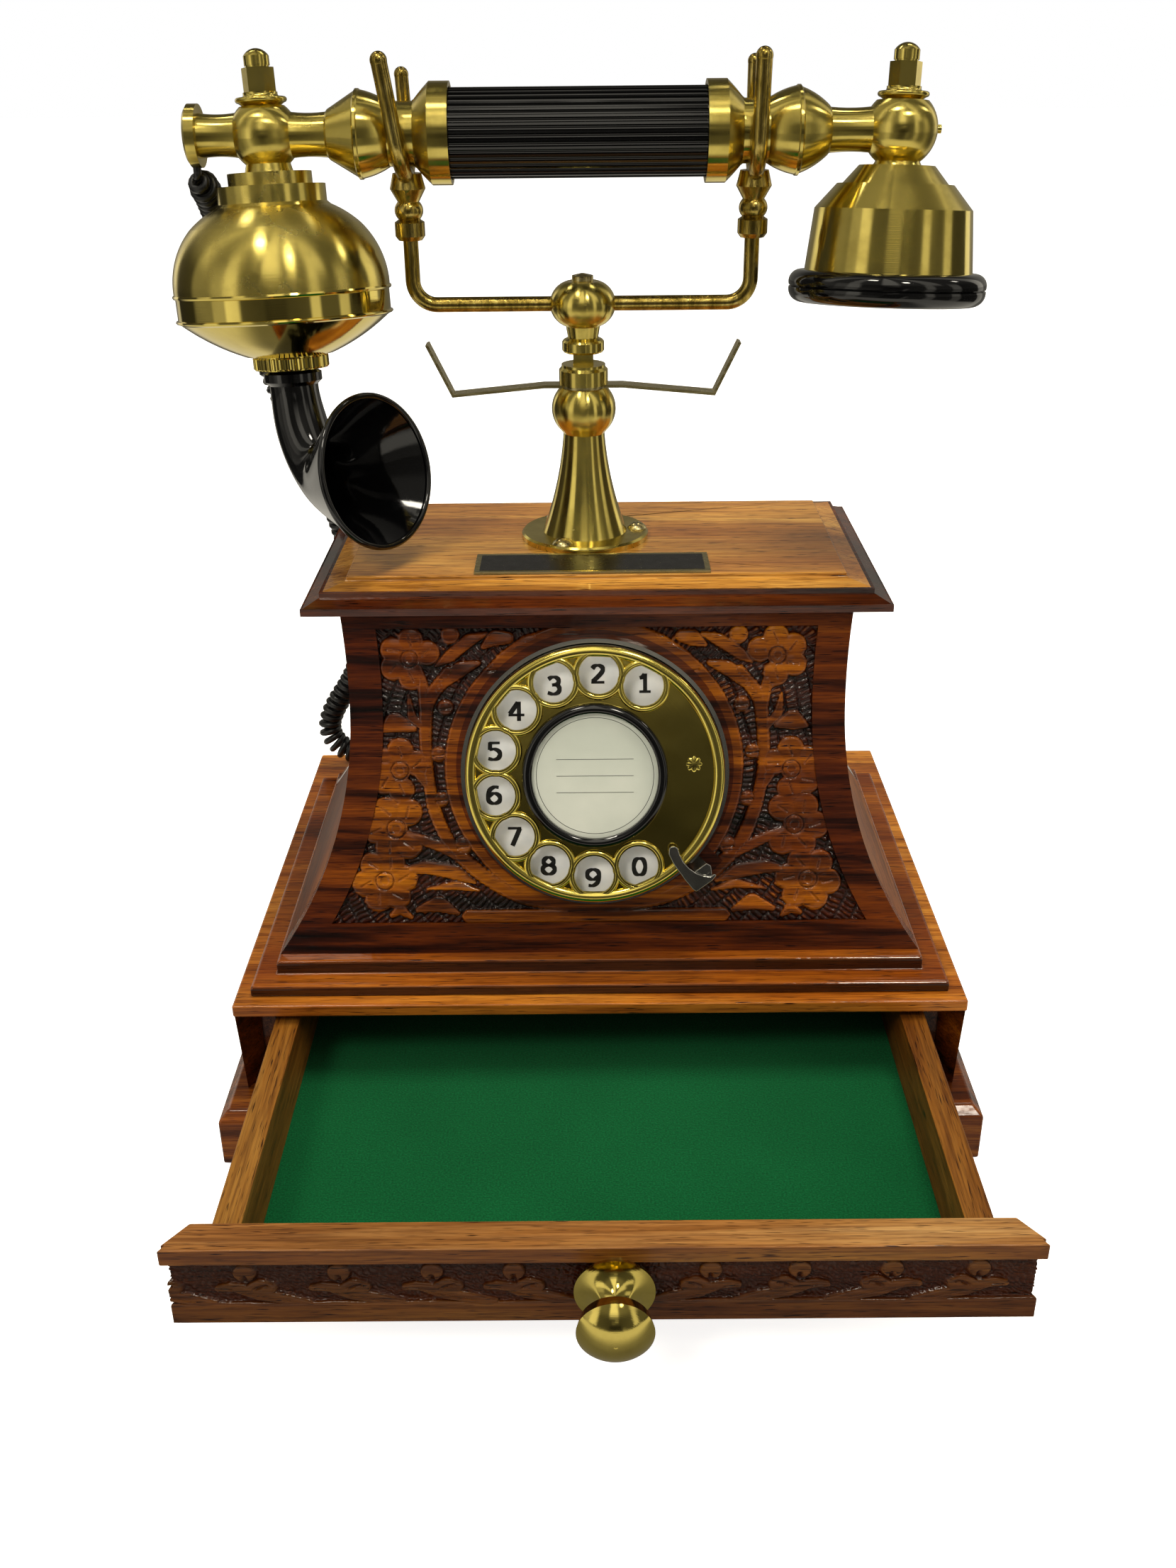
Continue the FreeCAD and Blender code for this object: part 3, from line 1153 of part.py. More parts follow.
curl_points = [Vector(-116.8, 6.5, 275.0), Vector(-117.0, 18.0, 268.5), Vector(-114.5, 29.0, 257.0),
               Vector(-111.5, 35.5, 240.0), Vector(-106.5, 38.0, 220.0), Vector(-101.0, 42.5, 200.0),
               Vector(-96.0, 53.0, 182.0), Vector(-93.0, 65.0, 162.0), Vector(-89.0, 72.0, 138.0),
               Vector(-87.5, 76.0, 114.0), Vector(-93.0, 79.0, 94.0), Vector(-104.5, 81.0, 77.5),
               Vector(-107.0, 81.0, 67.5), Vector(-101.0, 80.5, 59.5), Vector(-91.0, 79.5, 57.8),
               Vector(-78.0, 77.5, 57.9), Vector(-65.0, 77.5, 59.5), Vector(-53.5, 79.0, 65.0),
               Vector(-46.5, 76.5, 74.0)]


def meeting(bend, face, inside):
    """Where a tail from bend stops, its rim just clear of the curl's end face."""
    run = face - bend
    angle = run.getAngle(inside - face)
    run.normalize()
    return face - run * ((cord_r * math.sin(angle) + shaft_gap) / abs(math.cos(angle)))


top_bend = cord_exit + (cord_exit - cord_plug) * 1.3
foot_bend = grommet_mouth + (grommet_mouth - grommet_deep) * 0.35
top_points = [cord_plug, top_bend, meeting(top_bend, curl_points[0], curl_points[1])]
foot_points = [grommet_deep, foot_bend, meeting(foot_bend, curl_points[-1], curl_points[-2])]
save("cord_curl", tube_along(curl_r, curl_points, "curl"))
save("cord_tail_top", tube_along(cord_r, top_points, "top tail"))
save("cord_tail_foot", tube_along(cord_r, foot_points, "foot tail"))
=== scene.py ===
import math

import bpy
import numpy as np
from mathutils import Matrix, Vector


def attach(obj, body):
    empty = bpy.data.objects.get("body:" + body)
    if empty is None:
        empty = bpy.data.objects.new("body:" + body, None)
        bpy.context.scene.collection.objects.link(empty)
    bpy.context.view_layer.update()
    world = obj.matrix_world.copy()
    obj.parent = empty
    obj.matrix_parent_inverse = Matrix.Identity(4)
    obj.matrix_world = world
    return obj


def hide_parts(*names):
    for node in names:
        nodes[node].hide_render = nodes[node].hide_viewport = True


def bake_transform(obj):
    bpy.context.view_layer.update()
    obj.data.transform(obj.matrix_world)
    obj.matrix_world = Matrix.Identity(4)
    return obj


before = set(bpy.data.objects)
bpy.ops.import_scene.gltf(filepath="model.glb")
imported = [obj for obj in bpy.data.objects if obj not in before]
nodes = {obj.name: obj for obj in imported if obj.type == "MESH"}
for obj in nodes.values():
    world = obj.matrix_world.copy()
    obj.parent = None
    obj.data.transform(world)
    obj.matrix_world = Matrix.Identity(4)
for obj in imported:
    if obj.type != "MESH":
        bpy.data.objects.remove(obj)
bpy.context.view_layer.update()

# Camera: 42 cm in front of the dial and a little above the handset, looking down at the drawer.
eye = Vector((-0.00182, -0.46892, 0.32025))
pitch, yaw, roll = (math.radians(a) for a in (26.74, -0.17, -0.55))
forward = Vector((math.sin(yaw) * math.cos(pitch), math.cos(yaw) * math.cos(pitch), -math.sin(pitch)))
level = Vector((math.cos(yaw), -math.sin(yaw), 0))
upright = level.cross(forward)
right = level * math.cos(roll) + upright * math.sin(roll)
up = upright * math.cos(roll) - level * math.sin(roll)
lens = bpy.data.cameras.new("camera")
lens.sensor_fit = "HORIZONTAL"
lens.sensor_width = 36.0
lens.lens = 46.32
lens.clip_start = 0.01
camera = bpy.data.objects.new("camera", lens)
camera.matrix_world = Matrix((right, up, -forward)).transposed().to_4x4()
camera.matrix_world.translation = eye
bpy.context.scene.collection.objects.link(camera)
bpy.context.scene.camera = camera


# Handset cord: a curly PVC cord, wound hot on a rod so that it springs back. It leaves the bored end flange of
# the handset, hangs behind the body in one long curve, rests on the lid and goes into the grommet at the back.
# PVC is smooth and slightly glossy, so each turn shows one soft highlight.
wire_r = 0.0012
curl_r = 0.0034
turn_rise = 0.0031
steps_per_turn = 16
cord_exit = (-0.114337, 0.001212, 0.283497)
cord_route = [(-0.114337, 0.001525, 0.28648), cord_exit, (-0.1143, 0.0011, 0.2805),
              (-0.1137, 0.0085, 0.2762), (-0.1142, 0.0172, 0.2708), (-0.1143, 0.0285, 0.259),
              (-0.1115, 0.0355, 0.24), (-0.1065, 0.038, 0.22), (-0.101, 0.0425, 0.2), (-0.096, 0.053, 0.182),
              (-0.093, 0.065, 0.162), (-0.089, 0.072, 0.138), (-0.0875, 0.076, 0.114), (-0.093, 0.079, 0.094),
              (-0.1045, 0.081, 0.0775), (-0.107, 0.081, 0.0675), (-0.101, 0.0805, 0.0595),
              (-0.091, 0.0795, 0.0578), (-0.078, 0.0775, 0.0579), (-0.065, 0.0775, 0.0595),
              (-0.0535, 0.079, 0.065), (-0.0465, 0.0765, 0.074), (-0.042, 0.05742, 0.08469),
              (-0.042, 0.04934, 0.08378)]


def colour(code):
    """An sRGB hex colour as the linear colour that a shader works in."""
    parts = [int(code[i:i + 2], 16) / 255 for i in (1, 3, 5)]
    return [p / 12.92 if p <= 0.04045 else ((p + 0.055) / 1.055) ** 2.4 for p in parts] + [1.0]


def feed(tree, node, links):
    """Link sockets into a node; where a whole node is given, its first output is linked."""
    for key, source in links.items():
        tree.links.new(source.outputs[0] if hasattr(source, "outputs") else source, node.inputs[key])


def add(tree, kind, settings, links):
    """Add one shader node, with its settings, its sockets' values and what is linked into it."""
    made = tree.nodes.new("ShaderNode" + kind)
    for key, value in settings.items():
        if key == "stops":
            ramp = made.color_ramp
            ramp.elements[0].position = value[0][0]
            ramp.elements[-1].position = value[-1][0]
            for place, _ in value[1:-1]:
                ramp.elements.new(place)
            for element, (_, code) in zip(ramp.elements, value):
                element.color = colour(code)
        elif isinstance(key, int) or key in made.inputs:
            made.inputs[key].default_value = value
        else:
            setattr(made, key, value)
    feed(tree, made, links)
    return made


def new_material(name, base, settings):
    """A material with its base colour and the shader's own values; gives back also its tree, its shader and the
    place on the piece."""
    made = bpy.data.materials.new(name)
    made.use_nodes = True
    made.diffuse_color = colour(base)
    tree = made.node_tree
    shader = tree.nodes["Principled BSDF"]
    shader.inputs["Base Color"].default_value = colour(base)
    for key, value in settings.items():
        shader.inputs[key].default_value = value
    place = add(tree, "TexCoord", {}, {}).outputs["Object"]
    return made, tree, shader, place


def new_piece(name, points, faces, material, body, smooth=True):
    """A mesh piece from points in the telephone's own frame, in one material, riding on one body."""
    mesh = bpy.data.meshes.new(name)
    mesh.from_pydata([tuple(p) for p in points], [], faces)
    mesh.materials.append(material)
    mesh.update()
    if smooth:
        mesh.polygons.foreach_set("use_smooth", [True] * len(mesh.polygons))
    piece = bpy.data.objects.new(name, mesh)
    bpy.context.scene.collection.objects.link(piece)
    if body:
        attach(piece, body)
    return piece


def dress(material, *names):
    """Put a material on CAD nodes."""
    for name in names:
        for slot in nodes[name].material_slots:
            slot.material = material


def ease(width, *names):
    """Round the sharp edges of CAD nodes over, as sandpaper or a tool leaves them."""
    for name in names:
        weld = nodes[name].modifiers.new("joined", "WELD")
        weld.merge_threshold = 0.000002
        soft = nodes[name].modifiers.new("eased_edges", "BEVEL")
        soft.width = width
        soft.segments = 3
        soft.limit_method = "ANGLE"
        soft.angle_limit = math.radians(35)
        soft.harden_normals = True


def turning(name, profile, at, axis, material, body, steps=160):
    """A ring turned about an axis: the profile is a closed loop of (radius, height) in metres."""
    axis = Vector(axis).normalized()
    across = axis.orthogonal().normalized()
    beside = axis.cross(across)
    points, faces = [], []
    for k in range(steps):
        angle = 2 * math.pi * k / steps
        outward = across * math.cos(angle) + beside * math.sin(angle)
        points += [Vector(at) + outward * r + axis * h for r, h in profile]
    size = len(profile)
    for k in range(steps):
        here, there = k * size, (k + 1) % steps * size
        for i in range(size):
            j = (i + 1) % size
            faces.append((here + i, there + i, there + j, here + j))
    return new_piece(name, points, faces, material, body)


def tube(name, line, radius, sides, material, body):
    """A round wire that follows a line of points, its ends closed."""
    line = [Vector(p) for p in line]
    points, faces = [], []
    across = (line[1] - line[0]).orthogonal().normalized()
    for i, here in enumerate(line):
        ahead = (line[min(i + 1, len(line) - 1)] - line[max(i - 1, 0)]).normalized()
        across = (across - ahead * across.dot(ahead)).normalized()
        beside = ahead.cross(across)
        for k in range(sides):
            angle = 2 * math.pi * k / sides
            points.append(here + (across * math.cos(angle) + beside * math.sin(angle)) * radius)
    for i in range(len(line) - 1):
        for k in range(sides):
            a, b = i * sides + k, i * sides + (k + 1) % sides
            faces.append((a, b, b + sides, a + sides))
    faces.append(tuple(reversed(range(sides))))
    faces.append(tuple(range(len(points) - sides, len(points))))
    return new_piece(name, points, faces, material, body)


def smeared(tree, shader, place, scale, detail, clearest, dullest):
    """Let the gloss wander in patches between two roughnesses, as moulding, wiping and handling leave it."""
    patch = add(tree, "TexNoise", {"Scale": scale, "Detail": detail}, {"Vector": place})
    rub = add(tree, "MapRange", {"To Min": clearest, "To Max": dullest}, {"Value": patch})
    feed(tree, shader, {"Roughness": rub})


cord_pvc, tree, shader, place = new_material("moulded_pvc_cord", "#0b0b0c", {"Roughness": 0.34, "IOR": 1.53})
smeared(tree, shader, place, 900.0, 2.0, 0.26, 0.46)

route = bpy.data.curves.new("cord_route", "CURVE")
route.dimensions = "3D"
route.resolution_u = 32
spline = route.splines.new("NURBS")
spline.points.add(len(cord_route) - 1)
for point, at in zip(spline.points, cord_route):
    point.co = (*at, 1.0)
spline.order_u = 3
spline.use_endpoint_u = True
route_object = bpy.data.objects.new("cord_route", route)
bpy.context.scene.collection.objects.link(route_object)
bpy.context.view_layer.update()
line_mesh = bpy.data.meshes.new_from_object(route_object)
centre_line = [Vector(v.co) for v in line_mesh.vertices]
bpy.data.objects.remove(route_object)

# The turns follow that line: a straight tail at each end, and between them a curl that opens over 6 mm and
# closes over 6 mm.
tail_top, tail_foot, opening = 0.004, 0.0255, 0.006
lengths = [0.0]
for a, b in zip(centre_line, centre_line[1:]):
    lengths.append(lengths[-1] + (b - a).length)
total = lengths[-1]
count = int(total / turn_rise * steps_per_turn)
wire = []
across = Vector((0, 1, 0))
segment = 0
for i in range(count + 1):
    s = total * i / count
    while segment < len(lengths) - 2 and lengths[segment + 1] < s:
        segment += 1
    share = (s - lengths[segment]) / (lengths[segment + 1] - lengths[segment])
    here = centre_line[segment].lerp(centre_line[segment + 1], share)
    ahead = (centre_line[segment + 1] - centre_line[segment]).normalized()
    across = (across - ahead * across.dot(ahead)).normalized()
    beside = ahead.cross(across)
    open_share = min(1.0, max(0.0, min(s - tail_top, total - tail_foot - s) / opening))
    reach = curl_r * open_share * open_share * (3 - 2 * open_share)
    angle = 2 * math.pi * s / turn_rise
    if open_share > 0 or i % 4 == 0 or i == count:
        wire.append(here + (across * math.cos(angle) + beside * math.sin(angle)) * reach)
curly_cord = tube("curly_cord", wire, wire_r, 8, cord_pvc, None)
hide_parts("cord_curl", "cord_tail_top", "cord_tail_foot")
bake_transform(curly_cord)


# Studio: a white floor that runs back out of sight, and soft lamps in front and above. Round it stands a tent
# of light and dark cloth that only shiny pieces mirror: it gives brass its bands and keeps the lacquer clear.
floor_white, tree, shader, place = new_material("studio_floor", "#f4f4f4", {"Roughness": 0.9})


def straight_sight(tree):
    """1 where the floor or the world is seen, straight or through a clear piece, and 0 where it only lights."""
    sight = add(tree, "LightPath", {}, {})
    return add(tree, "Math", {"operation": "MAXIMUM"},
               {0: sight.outputs["Is Camera Ray"], 1: sight.outputs["Is Transmission Ray"]})


seen = straight_sight(tree)
glow = add(tree, "Emission", {"Color": (1, 1, 1, 1), "Strength": 0.82}, {})
dark = add(tree, "Emission", {"Color": (0, 0, 0, 1), "Strength": 0.0}, {})
shown = add(tree, "MixShader", {}, {0: seen, 1: dark, 2: glow})
both = add(tree, "AddShader", {}, {0: shader, 1: shown})
feed(tree, tree.nodes["Material Output"], {"Surface": both})
floor_reach = 6.0
floor = new_piece("floor", [(-floor_reach, -floor_reach, 0), (floor_reach, -floor_reach, 0),
                            (floor_reach, floor_reach, 0), (-floor_reach, floor_reach, 0)],
                  [(0, 1, 2, 3)], floor_white, None, False)

bpy.context.scene.view_settings.view_transform = "Standard"
world = bpy.data.worlds.new("studio")
bpy.context.scene.world = world
world.use_nodes = True
tree = world.node_tree
seen = straight_sight(tree)
level_light = add(tree, "MapRange", {"To Min": 0.40, "To Max": 1.0}, {"Value": seen})
room_tint = add(tree, "Mix", {"data_type": "RGBA", 6: colour("#fff8ea"), 7: (1, 1, 1, 1)}, {0: seen})
feed(tree, tree.nodes["Background"], {"Strength": level_light, "Color": room_tint.outputs[2]})

middle = Vector((0, -0.04, 0.16))


def lamp(name, at, width, height, watts, tint):
    """A soft lamp aimed at the telephone; what shiny pieces mirror is the tent, not the lamp."""
    data = bpy.data.lights.new(name, "AREA")
    data.shape = "RECTANGLE"
    data.size = width
    data.size_y = height
    data.energy = watts
    data.color = colour(tint)[:3]
    made = bpy.data.objects.new(name, data)
    made.location = at
    made.rotation_euler = (middle - Vector(at)).to_track_quat("-Z", "Y").to_euler()
    made.visible_glossy = False
    bpy.context.scene.collection.objects.link(made)


lamp("key_softbox", (-0.75, -1.1, 1.45), 0.5, 0.45, 14.0, "#fff6e6")
lamp("side_softbox", (1.5, -0.45, 0.9), 0.25, 1.0, 6.0, "#fff4e0")
lamp("top_softbox", (0.2, 0.1, 1.8), 0.9, 0.5, 24.0, "#fff8ea")
lamp("left_strip", (-1.6, -0.2, 0.6), 0.2, 1.1, 4.0, "#fff6e6")


def smooth(edge_low, edge_high, value):
    """A soft step from 0 at the first edge to 1 at the second."""
    share = np.clip((value - edge_low) / (edge_high - edge_low), 0, 1)
    return share * share * (3 - 2 * share)


tent_cloth, tree, shader, place = new_material("tent_cloth", "#5a5040", {"Roughness": 1.0})
woven = add(tree, "Attribute", {"attribute_name": "cloth"}, {})
lit = add(tree, "Emission", {"Strength": 1.0}, {"Color": woven.outputs["Color"]})
feed(tree, tree.nodes["Material Output"], {"Surface": lit})

# How bright each strip of cloth is, by its bearing from the front in degrees: low down, where the front is
# kept dark so that the panel's lacquer looks clear, and high up. Then the lamps that shine through the cloth:
# bearing, height, half width, half height (degrees) and brightness.
left_strips = [(-180, 0.2), (-150, 0.2), (-140, 1.0), (-133, 1.0), (-130, 0.05), (-100, 0.06), (-95, 0.3),
               (-73, 0.26), (-70, 0.5), (-57, 0.5), (-54, 1.1), (-41, 1.0)]
right_strips = [(50, 0.12), (70, 0.12), (73, 0.7), (83, 0.65), (86, 0.06), (116, 0.06), (118, 1.1), (131, 1.1),
                (135, 0.3), (180, 0.2)]
front_strips = [(-37, 0.10), (-16, 0.07), (12, 0.07), (36, 0.10), (39, 0.8), (47, 0.8)]
low_strips = left_strips + front_strips + right_strips
high_strips = [(-180, 0.08), (-140, 0.08), (-130, 0.35), (-110, 0.35), (-100, 0.1), (-97, 0.9), (-84, 0.9),
               (-80, 0.18), (-58, 0.16), (-54, 0.9), (-44, 0.9), (-40, 0.2), (-16, 0.18), (-12, 1.3), (5, 1.3),
               (10, 0.25), (38, 0.18), (42, 0.9), (60, 0.9), (64, 0.15), (90, 0.12), (112, 0.12), (117, 0.6),
               (130, 0.6), (136, 0.08), (180, 0.08)]
lamps_through = [(-34, 66, 9, 3.0, 24.0), (22, 50, 3.4, 3.0, 34.0), (150, 60, 5, 2.2, 14.0),
                 (-140, 56, 4, 2.2, 14.0), (100, 38, 2.2, 2.2, 12.0), (3, 13.5, 3.0, 1.5, 0.3),
                 (-4, 11, 2.5, 2.0, 0.1)]


def net(index):
    """The four-sided faces between points that stand in rows."""
    corners = index[:-1, :-1], index[:-1, 1:], index[1:, 1:], index[1:, :-1]
    return np.stack(corners, -1).reshape(-1, 4).tolist()


def mirrored_only(name, points, columns, shades):
    """A stage sheet of points in rows, with its own shade at each point, that only reflections show."""
    index = np.arange(len(points)).reshape(-1, columns)
    made = new_piece(name, points.tolist(), net(index), tent_cloth, None)
    cloth = made.data.attributes.new("cloth", "FLOAT_COLOR", "POINT")
    tinted = np.stack([shades, shades * 0.94, shades * 0.8, np.ones_like(shades)], -1)
    cloth.data.foreach_set("color", tinted.astype(np.float32).ravel())
    made.visible_camera = False
    made.visible_diffuse = False
    made.visible_shadow = False
    made.visible_transmission = False


elevation, bearing = np.meshgrid(np.linspace(-6, 88, 95), np.linspace(-180, 180, 361), indexing="ij")
rise = smooth(16, 34, elevation)
level_of = np.interp(bearing, *zip(*low_strips)) * (1 - rise) + np.interp(bearing, *zip(*high_strips)) * rise
level_of *= 1 - 0.65 * smooth(14, 9, np.abs(bearing)) * smooth(8, 2, elevation)
for at_bearing, at_height, half_wide, half_high, bright in lamps_through:
    level_of += bright * smooth(half_wide + 1.5, half_wide, np.abs(bearing - at_bearing)) \
        * smooth(half_high + 1.5, half_high, np.abs(elevation - at_height))
b, e = np.radians(bearing.ravel()), np.radians(elevation.ravel())
tent_reach = 2.9
outward = np.stack([np.sin(b) * np.cos(e), -np.cos(b) * np.cos(e), np.sin(e)], 1)
mirrored_only("tent", np.array(middle) + tent_reach * outward, 361, level_of.ravel())

# The table mirrors a painted shadow at the telephone's foot, bright a few centimetres round it, where it lies
# in the light, and in dim strips farther off.
front_strips = [(-38, 0.3), (-16, 0.22), (-12, 0.08), (12, 0.08), (14, 0.8), (17, 0.16), (37, 0.16), (39, 0.9),
                (47, 0.9)]
table_strips = left_strips + front_strips + right_strips
reach, bearing = np.meshgrid(np.geomspace(0.02, 3.0, 60), np.linspace(-180, 180, 181), indexing="ij")
b = np.radians(bearing)
x, y = reach * np.sin(b), -reach * np.cos(b)
foot_half_x, foot_half_y, foot_middle_y = 0.118, 0.141, -0.043
gap = np.hypot(np.maximum(np.abs(x) - foot_half_x, 0), np.maximum(np.abs(y - foot_middle_y) - foot_half_y, 0))
# Painted shadow: the mirrored table is dim within 3 cm of the telephone's foot and brightens by 10 cm.
near = 0.2 + 0.6 * smooth(0.03, 0.10, gap)
away = smooth(0.28, 0.45, gap)
table_level = near * (1 - away) + 0.6 * np.interp(bearing, *zip(*table_strips)) * away
table_points = np.stack([x.ravel(), y.ravel(), np.full(x.size, 0.0004)], 1)
mirrored_only("table_sheen", table_points, 181, table_level.ravel())


# Base: a bevelled plinth board with felt under it, two side walls and a back wall mitred and glued, and the lid
# board that overhangs them. All is Indian rosewood, sawn, sanded and brushed with gloss lacquer, so honey and
# dark brown bands of the ring figure show through a wet-looking skin with fine open pores.
heartwood = [(0.30, "#241003"), (0.40, "#54300c"), (0.50, "#835319"), (0.60, "#a37026"), (0.74, "#bf9038")]
honey_wood = [(0.24, "#4e2e12"), (0.36, "#94682e"), (0.48, "#c99c54"), (0.62, "#e0bc74"), (0.76, "#eccf92")]


# The settings of each layer that darkens what lies under it.
darkened = {"data_type": "RGBA", "blend_type": "MULTIPLY"}


def rosewood(name, cut_at, figure_stops, stain, turn=(0, 0, 0), gloss=0.09, lacquer=1.0):
    """Rosewood: cut_at is the board's place in the log, turn lays its grain, and stain is rubbed in last."""
    skin = {"Roughness": 0.5, "Specular IOR Level": 0.1, "Coat Weight": lacquer, "Coat Roughness": gloss,
            "Coat IOR": 1.45}
    wood, tree, shader, place = new_material(name, "#6d3713", skin)
    laid = add(tree, "Mapping", {"Rotation": turn}, {"Vector": place})
    slid = add(tree, "VectorMath", {"operation": "ADD", 1: cut_at}, {0: laid})
    drawn = add(tree, "VectorMath", {"operation": "MULTIPLY", 1: (0.16, 1.0, 1.0)}, {0: slid})
    # Rings 2 to 6 mm wide that wander a centimetre to and fro along the board.
    sway = add(tree, "TexNoise", {"Scale": 26.0, "Detail": 3.0, "Roughness": 0.5}, {"Vector": drawn})
    sway = add(tree, "VectorMath", {"operation": "SUBTRACT", 1: (0.5, 0.5, 0.5)}, {0: sway.outputs["Color"]})
    sway = add(tree, "VectorMath", {"operation": "MULTIPLY", 1: (0.0, 0.030, 0.030)}, {0: sway})
    bent = add(tree, "VectorMath", {"operation": "ADD"}, {0: drawn, 1: sway})
    flat = add(tree, "VectorMath", {"operation": "MULTIPLY", 1: (0.25, 1.0, 1.0)}, {0: bent})
    ring = add(tree, "VectorMath", {"operation": "LENGTH"}, {0: flat})
    ring = add(tree, "Math", {"operation": "MULTIPLY", 1: 170.0}, {0: ring.outputs["Value"]})
    bands = add(tree, "TexNoise", {"noise_dimensions": "1D", "Scale": 1.0, "Detail": 6.0, "Roughness": 0.6},
                {"W": ring})
    # A broken edge: short streaks push the ring bands about, so no band is a clean stripe.
    streak_at = add(tree, "VectorMath", {"operation": "MULTIPLY", 1: (16.0, 420.0, 420.0)}, {0: slid})
    streak = add(tree, "TexNoise", {"Scale": 1.0, "Detail": 4.0, "Roughness": 0.65}, {"Vector": streak_at})
    mixed = add(tree, "Mix", {"data_type": "FLOAT", 0: 0.42}, {2: bands, 3: streak})
    figure = add(tree, "ValToRGB", {"stops": figure_stops}, {"Fac": mixed})
    # Heartwood darkens in patches several centimetres long.
    patch = add(tree, "TexNoise", {"Scale": 22.0, "Detail": 2.0}, {"Vector": drawn})
    patch = add(tree, "ValToRGB", {"stops": [(0.32, "#7a5a40"), (0.46, "#c8a888"), (0.60, "#ffffff")]},
                {"Fac": patch})
    toned = add(tree, "Mix", {**darkened, 0: 0.8}, {6: figure, 7: patch})
    # Fibres about half a millimetre wide and 2 cm long, and pores drawn out into short dark dashes.
    fine = add(tree, "VectorMath", {"operation": "MULTIPLY", 1: (50.0, 1500.0, 1500.0)}, {0: slid})
    fibre = add(tree, "TexNoise", {"Scale": 1.0, "Detail": 3.0, "Roughness": 0.6}, {"Vector": fine})
    fibre_tone = add(tree, "ValToRGB", {"stops": [(0.34, "#a98f80"), (0.60, "#fff2df")]}, {"Fac": fibre})
    toned = add(tree, "Mix", {**darkened, 0: 0.8}, {6: toned.outputs[2], 7: fibre_tone})
    dash = add(tree, "VectorMath", {"operation": "MULTIPLY", 1: (130.0, 2600.0, 2600.0)}, {0: slid})
    pore = add(tree, "TexNoise", {"Scale": 1.0, "Detail": 1.0}, {"Vector": dash})
    pore = add(tree, "MapRange", {"From Min": 0.62, "From Max": 0.72}, {"Value": pore})
    toned = add(tree, "Mix", {**darkened, 7: colour("#4a2a1a")}, {0: pore, 6: toned.outputs[2]})
    rubbed = add(tree, "Mix", {**darkened, 0: 1.0, 7: colour(stain)}, {6: toned.outputs[2]})
    # The lacquer keeps faint brush ripples about a centimetre apart and sinks a little into the pores.
    ripple = add(tree, "TexNoise", {"Scale": 85.0, "Detail": 3.0}, {"Vector": slid})
    skin = add(tree, "Bump", {"Strength": 0.15, "Distance": 0.0010}, {"Height": ripple})
    skin = add(tree, "Bump", {"Strength": 0.14, "Distance": 0.0001, "invert": True},
               {"Height": pore, "Normal": skin})
    under = add(tree, "Bump", {"Strength": 0.3, "Distance": 0.0002}, {"Height": fibre})
    feed(tree, shader, {"Coat Normal": skin, "Normal": under, "Base Color": rubbed.outputs[2]})
    return wood, tree, shader, rubbed.outputs[2]


def facing_painted_shade(tree, shader, tone, side, top):
    """Tint a wood by which way it faces, as painted light and shade: side for walls, top for tops."""
    facing = add(tree, "NewGeometry", {}, {})
    parts = add(tree, "SeparateXYZ", {}, {"Vector": facing.outputs["Normal"]})
    topside = add(tree, "MapRange", {"From Min": 0.3, "From Max": 0.8}, {"Value": parts.outputs["Z"]})
    tint = add(tree, "Mix", {"data_type": "RGBA", 6: colour(side), 7: colour(top)}, {0: topside})
    toned = add(tree, "Mix", {**darkened, 0: 1.0}, {6: tone, 7: tint.outputs[2]})
    feed(tree, shader, {"Base Color": toned.outputs[2]})
    return toned.outputs[2]


across_grain = (0, 0, math.pi / 2)
plinth_wood = rosewood("lacquered_rosewood_plinth", (0.3, 0.075, 0.02), heartwood, "#d8bc94")[0]
wall_wood = rosewood("lacquered_rosewood_walls", (0.9, 0.02, 0.05), heartwood, "#b89468", turn=across_grain)[0]
lid_wood = rosewood("lacquered_rosewood_lid", (1.7, 0.12, -0.03), honey_wood, "#f6cf86")[0]
dress(plinth_wood, "base_plinth", "base_back")
dress(wall_wood, "base_sides")
dress(lid_wood, "lid_board")
ease(0.0007, "base_plinth", "lid_board")

# Felt: pressed green wool, glued on. Its short fibres lie every way, so it is matt with a faint pale sheen.
wool = {"Roughness": 1.0, "Sheen Weight": 0.06, "Sheen Roughness": 0.5, "Specular IOR Level": 0.0}
felt_green, tree, shader, place = new_material("glued_wool_felt", "#0b5730", wool)
fluff = add(tree, "TexNoise", {"Scale": 1800.0, "Detail": 3.0}, {"Vector": place})
cloud = add(tree, "TexNoise", {"Scale": 28.0, "Detail": 3.0}, {"Vector": place})
blend = add(tree, "Math", {"operation": "MULTIPLY_ADD", 1: 0.22}, {0: cloud, 2: fluff})
pile = add(tree, "ValToRGB", {"stops": [(0.36, "#063c1f"), (0.61, "#094b27"), (0.86, "#0e5a31")]},
           {"Fac": blend})
nap = add(tree, "Bump", {"Strength": 0.5, "Distance": 0.0004}, {"Height": fluff})
feed(tree, shader, {"Base Color": pile, "Normal": nap})
dress(felt_green, "base_felt", "drawer_felt")


# Upper body: a stepped skirt board, two waisted side boards and a back board, glued and pinned.
# The skirt's lacquer is thick, and its grooves and other upright faces are painted darker as shade; the sides'
# finish has worn thin and grey.
skirt_wood, tree, shader, tone = rosewood("lacquered_rosewood_skirt", (2.4, 0.06, 0.04), honey_wood, "#bc8a42",
                                          gloss=0.05)
# Painted shade: the skirt's upright faces are tinted darker than its tops.
facing_painted_shade(tree, shader, tone, "#6e6648", "#ffffff")
side_wood = rosewood("lacquered_rosewood_sides", (3.1, 0.03, 0.06), honey_wood, "#b09070", turn=across_grain,
                     gloss=0.35, lacquer=0.06)[0]
back_wood = rosewood("lacquered_rosewood_back", (3.9, 0.05, -0.05), heartwood, "#b08a60")[0]
dress(skirt_wood, "skirt_board")
dress(side_wood, "body_sides")
dress(back_wood, "body_back")
ease(0.0006, "skirt_board", "body_sides", "body_back")


